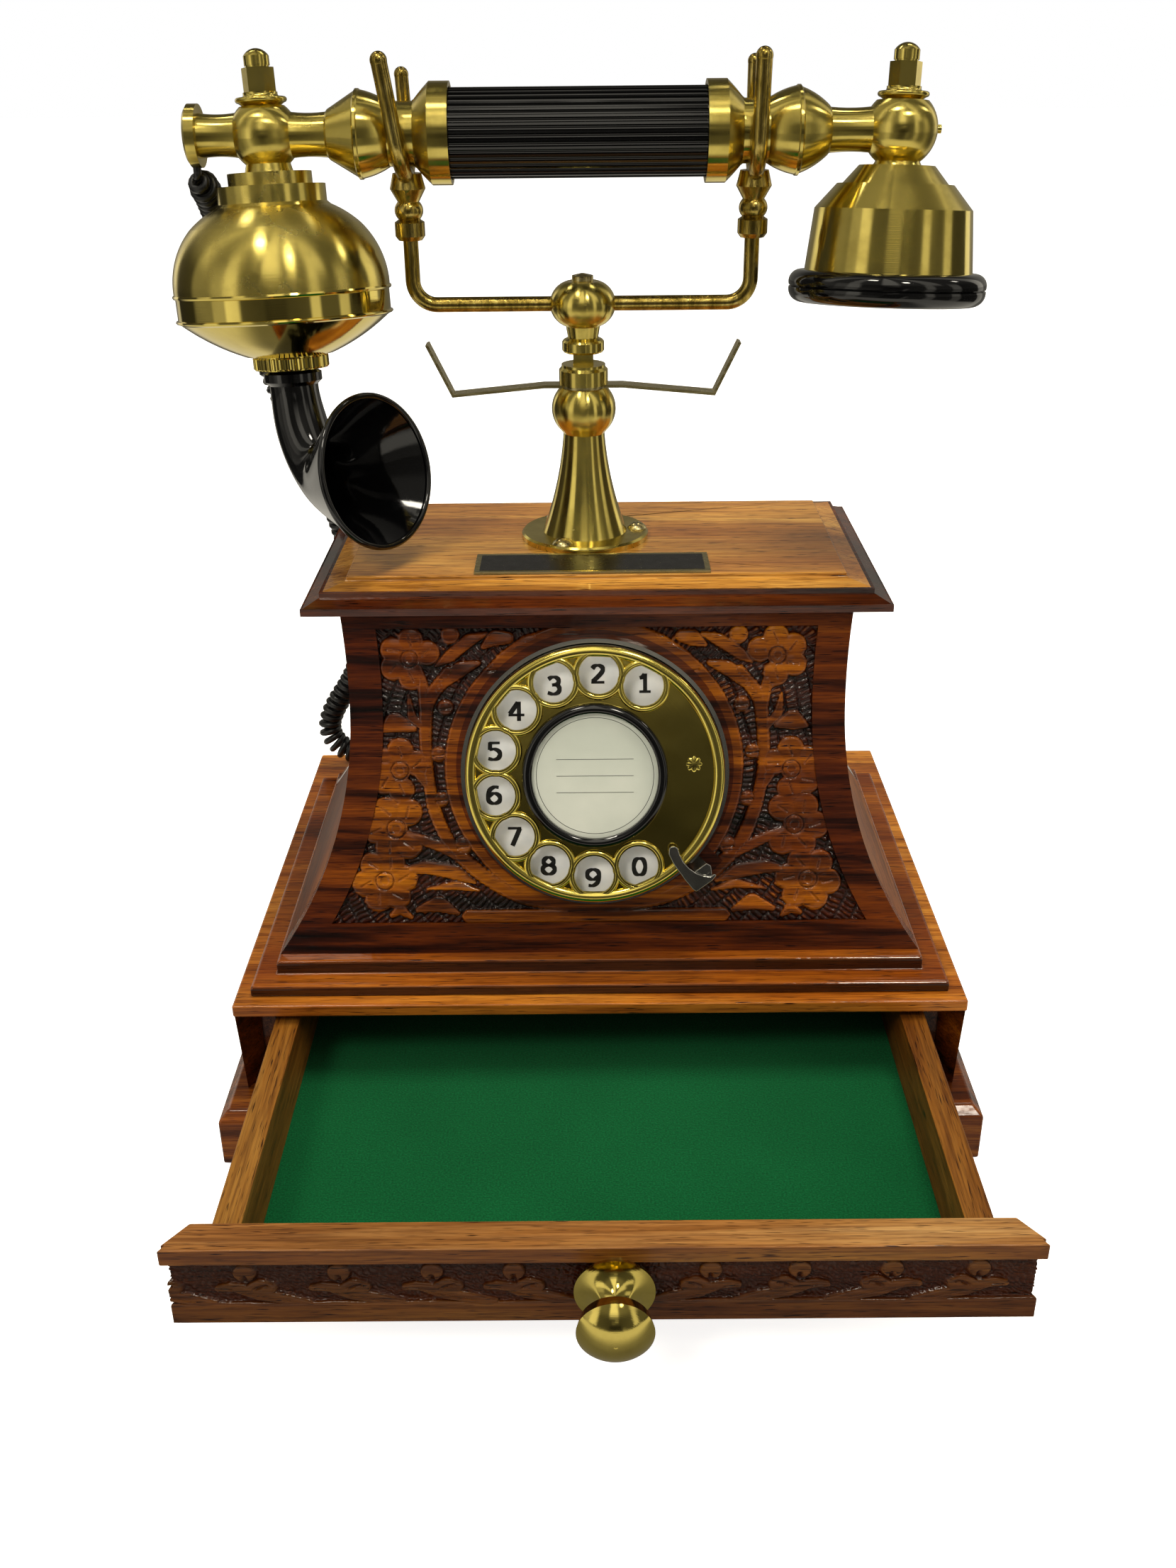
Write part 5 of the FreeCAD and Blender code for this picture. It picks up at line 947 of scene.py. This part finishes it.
# The pen's path for each figure, in figure heights from its middle; a closed path repeats its first point.
six = [(0.25, 0.41), (0.02, 0.43), (-0.22, 0.27), (-0.31, -0.05), (-0.27, -0.30), (-0.10, -0.42), (0.10, -0.42),
       (0.28, -0.30), (0.29, -0.06), (0.12, 0.08), (-0.08, 0.08), (-0.28, -0.06)]
pen_paths = {
    "1": [[(-0.24, 0.27), (-0.10, 0.31), (0.02, 0.46)], [(0.04, 0.5), (0.04, -0.42)],
          [(-0.26, -0.434), (0.33, -0.434)]],
    "2": [[(-0.27, 0.27), (-0.14, 0.41), (0.08, 0.43), (0.26, 0.31), (0.24, 0.12), (0.04, -0.12),
           (-0.26, -0.40)], [(-0.33, -0.434), (0.35, -0.434)]],
    "3": [[(-0.27, 0.33), (-0.10, 0.43), (0.12, 0.42), (0.26, 0.28), (0.20, 0.10), (-0.08, 0.03)],
          [(-0.08, 0.03), (0.20, 0.0), (0.30, -0.18), (0.20, -0.37), (-0.04, -0.434), (-0.31, -0.36)]],
    "4": [[(0.10, 0.46), (-0.33, -0.14)], [(-0.40, -0.19), (0.42, -0.19)], [(0.14, 0.5), (0.14, -0.5)]],
    "5": [[(-0.25, 0.434), (0.30, 0.434)], [(-0.20, 0.47), (-0.22, 0.07)],
          [(-0.24, 0.09), (0.02, 0.11), (0.24, 0.0), (0.30, -0.18), (0.19, -0.37), (-0.05, -0.434),
           (-0.31, -0.38)]],
    "6": [six],
    "7": [[(-0.34, 0.434), (0.36, 0.434)], [(0.28, 0.42), (0.10, 0.0), (-0.12, -0.5)]],
    "8": [[(0, 0.03), (-0.22, 0.11), (-0.25, 0.28), (-0.10, 0.43), (0.10, 0.43), (0.25, 0.28), (0.22, 0.11),
           (0, 0.03)],
          [(0, 0.03), (-0.25, -0.05), (-0.31, -0.24), (-0.14, -0.42), (0.14, -0.42), (0.31, -0.24),
           (0.25, -0.05), (0, 0.03)]],
    "9": [[(-x, -y) for x, y in six]],
    "0": [[(0, 0.434), (-0.21, 0.35), (-0.30, 0.0), (-0.21, -0.35), (0, -0.434), (0.21, -0.35), (0.30, 0.0),
           (0.21, 0.35), (0, 0.434)]],
}
upright_pen, level_pen = 0.105, 0.068
plate_face, print_top = 8.17, 8.25
figure_points, figure_faces = [], []
for text, a, b in figures:
    for path in pen_paths[text]:
        line = [Vector(p) for p in path]
        if len(line) > 3:
            closed = line[0] == line[-1]
            before = [line[-2] if closed else 2 * line[0] - line[1]] + line
            before.append(line[1] if closed else 2 * line[-1] - line[-2])
            bent = []
            for p0, p1, p2, p3 in zip(before, before[1:], before[2:], before[3:]):
                bent += [0.5 * (2 * p1 + (p2 - p0) * t + (2 * p0 - 5 * p1 + 4 * p2 - p3) * t * t
                                + (3 * p1 - p0 - 3 * p2 + p3) * t ** 3) for t in np.linspace(0, 1, 7)[:-1]]
            line = bent + [line[-1]]
        first = len(figure_points)
        for i, p in enumerate(line):
            ahead = (line[min(i + 1, len(line) - 1)] - line[max(i - 1, 0)]).normalized()
            side = Vector((-ahead.y, ahead.x))
            side *= upright_pen * abs(side.x) + level_pen * abs(side.y)
            for w in (plate_face, print_top):
                for q in (p - side, p + side):
                    figure_points.append(on_dial(a + q.x * figure_h, b + q.y * figure_h, w))
        for i in range(len(line) - 1):
            k, m = first + 4 * i, first + 4 * i + 4
            figure_faces += [(k + 2, m + 2, m + 3, k + 3), (k + 1, m + 1, m, k), (k, m, m + 2, k + 2),
                             (k + 3, m + 3, m + 1, k + 1)]
        k, m = first, first + 4 * (len(line) - 1)
        figure_faces += [(k, k + 2, k + 3, k + 1), (m + 1, m + 3, m + 2, m)]
printed = new_piece("plate_figures", figure_points, figure_faces, ink_black, "root", False)

# Label: a coated white card with a printed line near its edge, ruled and left blank, in a ridged black ring.
card, tree, shader, place = new_material("coated_card", "#e6e9d8", {"Roughness": 0.22, "IOR": 1.5})
mottled(tree, shader, place, 40.0, 3.0, [(0.35, "#bdc3b8"), (0.65, "#ccd0c5")])
dress(card, "label_card")
card_top = 13.5
line_profile = [(0.0174, -0.00003), (0.01755, -0.00003), (0.01755, 0.00003), (0.0174, 0.00003)]
edge_line = turning("card_line", line_profile, on_dial(0, 0, card_top), panel_out, ink_black, "finger_wheel",
                    128)
bar_faces = [(3, 2, 1, 0), (4, 5, 6, 7), (0, 1, 5, 4), (1, 2, 6, 5), (2, 3, 7, 6), (3, 0, 4, 7)]
rule_half, pen_half = 11.5, 0.07
for i, b in enumerate((5.0, 0.0, -5.0)):
    points = [on_dial(x * rule_half, b + y * pen_half, card_top + w) for w in (-0.03, 0.03)
              for x, y in ((-1, -1), (1, -1), (1, 1), (-1, 1))]
    rule = new_piece("card_rule_%d" % i, points, bar_faces, ink_black, "finger_wheel", False)
for i, (r, above) in enumerate(((0.0194, 2.15), (0.0204, 2.0), (0.0213, 1.5))):
    bead = [(r + 0.00032 * math.cos(math.radians(a)), 0.0003 * math.sin(math.radians(a)))
            for a in range(0, 181, 30)]
    ridge = turning("label_ridge_%d" % i, bead, on_dial(0, 0, wheel_top + above), panel_out, gloss_black,
                    "finger_wheel", 128)

# A small eight-petalled rosette is punched into the plain part of the wheel.
rosette_a, rosette_b, rosette_r, petal_reach = 29.5, 3.2, 1.9, 0.65
rosette_points = [on_dial(rosette_a, rosette_b, wheel_top + 0.02)]
for k in range(64):
    angle = 2 * math.pi * k / 64
    outer = rosette_r + petal_reach * abs(math.cos(4 * angle))
    for reach, above in ((outer, -0.05), (0.78 * outer, 0.16)):
        rosette_points.append(on_dial(rosette_a + reach * math.cos(angle), rosette_b + reach * math.sin(angle),
                                      wheel_top + above))
rosette_faces = []
for k in range(64):
    a, b = 1 + 2 * k, 1 + 2 * ((k + 1) % 64)
    rosette_faces += [(a, b, b + 1, a + 1), (a + 1, b + 1, 0)]
rosette = new_piece("wheel_rosette", rosette_points, rosette_faces, rim_brass, "finger_wheel")


# Name plate: sheet brass with a sunk field of black enamel, left bare.
dress(sheet_brass, "name_plate")
plate_black, tree, shader, place = new_material("baked_black_enamel", "#0b0a09",
                                                {"Roughness": 0.25, "IOR": 1.5})
smeared(tree, shader, place, 300.0, 4.0, 0.18, 0.4)
plate_top = max((nodes["name_plate"].matrix_world @ Vector(c)).z for c in nodes["name_plate"].bound_box)
plate_x, plate_y, half_x, half_y = -0.0012, -0.0271, 0.0339, 0.0072
points = [Vector((plate_x + x * half_x, plate_y + y * half_y, plate_top + z)) for z in (-0.0003, 0.00006)
          for x, y in ((-1, -1), (1, -1), (1, 1), (-1, 1))]
field_piece = new_piece("plate_field", points, bar_faces, plate_black, "root", False)


# Drawer: the front board has a plain lip above and a band carved with a row of small flowers, each on a leaf
# that sweeps down into the smooth edge; the sides, back and floor are sawn boards with one thin coat, the floor
# felted. The front's faces are dull, and tinted a darker grey-brown as painted shade against the lit honey
# colour of the lip's top.
front_cut, front_stain = (8.6, 0.08, 0.03), "#dcdcf0"
lip_wood, tree, shader, tone = rosewood("lacquered_rosewood_drawer", front_cut, honey_wood, front_stain,
                                        gloss=0.2, lacquer=0.7)
# Painted shade: the drawer front's upright faces are tinted darker than the lip's top.
facing_painted_shade(tree, shader, tone, "#c0aa68", "#ffffff")
dress(lip_wood, "drawer_front")
ease(0.0008, "drawer_front")
raw_wood = rosewood("sawn_rosewood", (9.4, 0.03, 0.06), honey_wood, "#a08c68", turn=across_grain, gloss=0.35,
                    lacquer=0.4)[0]
dress(raw_wood, "drawer_sides", "drawer_floor")
back_board = rosewood("sawn_rosewood_back", (9.9, 0.05, 0.02), honey_wood, "#a08c68", gloss=0.35,
                      lacquer=0.4)[0]
dress(back_board, "drawer_back")
ease(0.0005, "drawer_sides", "drawer_back")

band_half, band_low, band_high, band_top = 111.1, 20.4, 41.95, 1.4
band_x, band_z = np.meshgrid(np.linspace(-band_half, band_half, 1000), np.linspace(band_low, band_high, 150))
band = Carving(band_x, band_z, band_top + 0.12)


def sprig(x, hand):
    """One flower: a round petal, a long lobe, a round lobe and a leaf that sweeps down into the smooth edge."""
    band.petal(x, 36.9, 3.0, 0.15)
    band.groove([(x - 0.1, 35.6), (x + 0.1, 33.6)], 1.0, 1.1)
    band.stroke([(x - 7.0 * hand, 31.9), (x - 4.4 * hand, 32.2), (x - 0.8 * hand, 31.6)], (1.1, 1.5, 1.6), 0.1)
    band.stroke([(x + 0.6 * hand, 31.4), (x + 3.8 * hand, 32.3), (x + 6.0 * hand, 31.9)], (1.6, 2.5, 2.0), 0.1)
    band.groove([(x + 2.4 * hand, 31.6), (x + 4.0 * hand, 32.4), (x + 5.4 * hand, 32.7)], 0.75, 0.9)
    band.groove([(x - 6.2 * hand, 31.7), (x - 3.6 * hand, 31.5)], 0.45, 0.7)
    leaf = [(x - 2.6 * hand, 31.2), (x + 3.0 * hand, 29.6), (x + 9.0 * hand, 28.3), (x + 16.0 * hand, 27.0)]
    band.stroke(leaf, (0.8, 1.9, 1.8, 0.8), 0.12, hand)
    band.groove([(x - 1.0 * hand, 30.4), (x + 5.0 * hand, 28.9), (x + 11.0 * hand, 27.5)], 0.3, 0.35)


for flower_x in (-115.8, -91.5, -67.5, -43.7, -22.8):
    sprig(flower_x, 1)
for flower_x in (27.5, 50.2, 73.7, 95.8):
    sprig(flower_x, -1)
edge_top = 27.0 + 0.35 * waver(band_x, band_z, 30.0, 37)
band.shape(edge_top - band_z, np.zeros_like(band_x))
pits = 0.5 + 0.5 * waver(band_x, band_z, 2.3, 23)
lines = np.abs(np.sin(math.pi * (band_x * 0.55 + band_z * 0.9 + 1.4 * waver(band_x, band_z, 7.0, 29)) / 1.3))
band_ground = 0.12 + 0.5 * pits * lines + 0.14 * waver(band_x, band_z, 1.1, 31)
band_relief = band.surface(np.clip(band_ground, 0.02, 1.0))[0]
knob_x, knob_z, knob_seat_r = 2.85, 32.9, 6.6
by_knob = np.hypot(band_x - knob_x, band_z - knob_z) < knob_seat_r
band_relief = np.where(by_knob, band_top - 0.4, band_relief)
band_wood, tree, shader, tone = rosewood("carved_rosewood_drawer", front_cut, honey_wood, front_stain,
                                         gloss=0.07, lacquer=0.45)
tone = facing_painted_shade(tree, shader, tone, "#9c8552", "#9c8552")
# Painted shade: the drawer band is darker the deeper it is cut.
painted_depth_shade(tree, shader, tone, [(0.0, "#a8844c"), (0.5, "#b8905c"), (0.8, "#ffffff")])
band_face = (0.0, -0.1817, 0.0)
band_piece = relief_piece("drawer_carving", band_x, band_relief, (band_z, (0.0, 0.0, 1.0)), band_wood, "drawer",
                          band_top, band_face, (0.0, -1.0, 0.0), mitre=0.72)
mark_depth(band_piece, band_relief, band_top)

knob_brass = turned_brass("turned_brass_knob", (0.00285, -0.1839, 0.0329), (0, 1, 0), rough=0.08, brushed=0.3)
dress(knob_brass, "drawer_knob")


# Inner works: pressed steel case and frames, cut brass gears, dull zinc capsules and a moulded terminal board.
steel, tree, shader, place = new_material("zinc_plated_steel", "#a9abad", {"Metallic": 1.0, "Roughness": 0.35})
spangle = add(tree, "TexVoronoi", {"Scale": 500.0}, {"Vector": place})
wear = add(tree, "MapRange", {"To Min": 0.25, "To Max": 0.45}, {"Value": spangle.outputs["Distance"]})
feed(tree, shader, {"Roughness": wear})
dress(steel, "dial_case", "ringer_frame", "capsules", "clapper")
dress(sheet_brass, "dial_gear", "pulse_pinion")
board_brown, tree, shader, place = new_material("moulded_phenolic_board", "#2b1a12",
                                                {"Roughness": 0.4, "IOR": 1.6})
mottled(tree, shader, place, 500.0, 4.0, [(0.4, "#1f120c"), (0.6, "#3a2418")])
dress(board_brown, "terminal_board", "hook_switch")
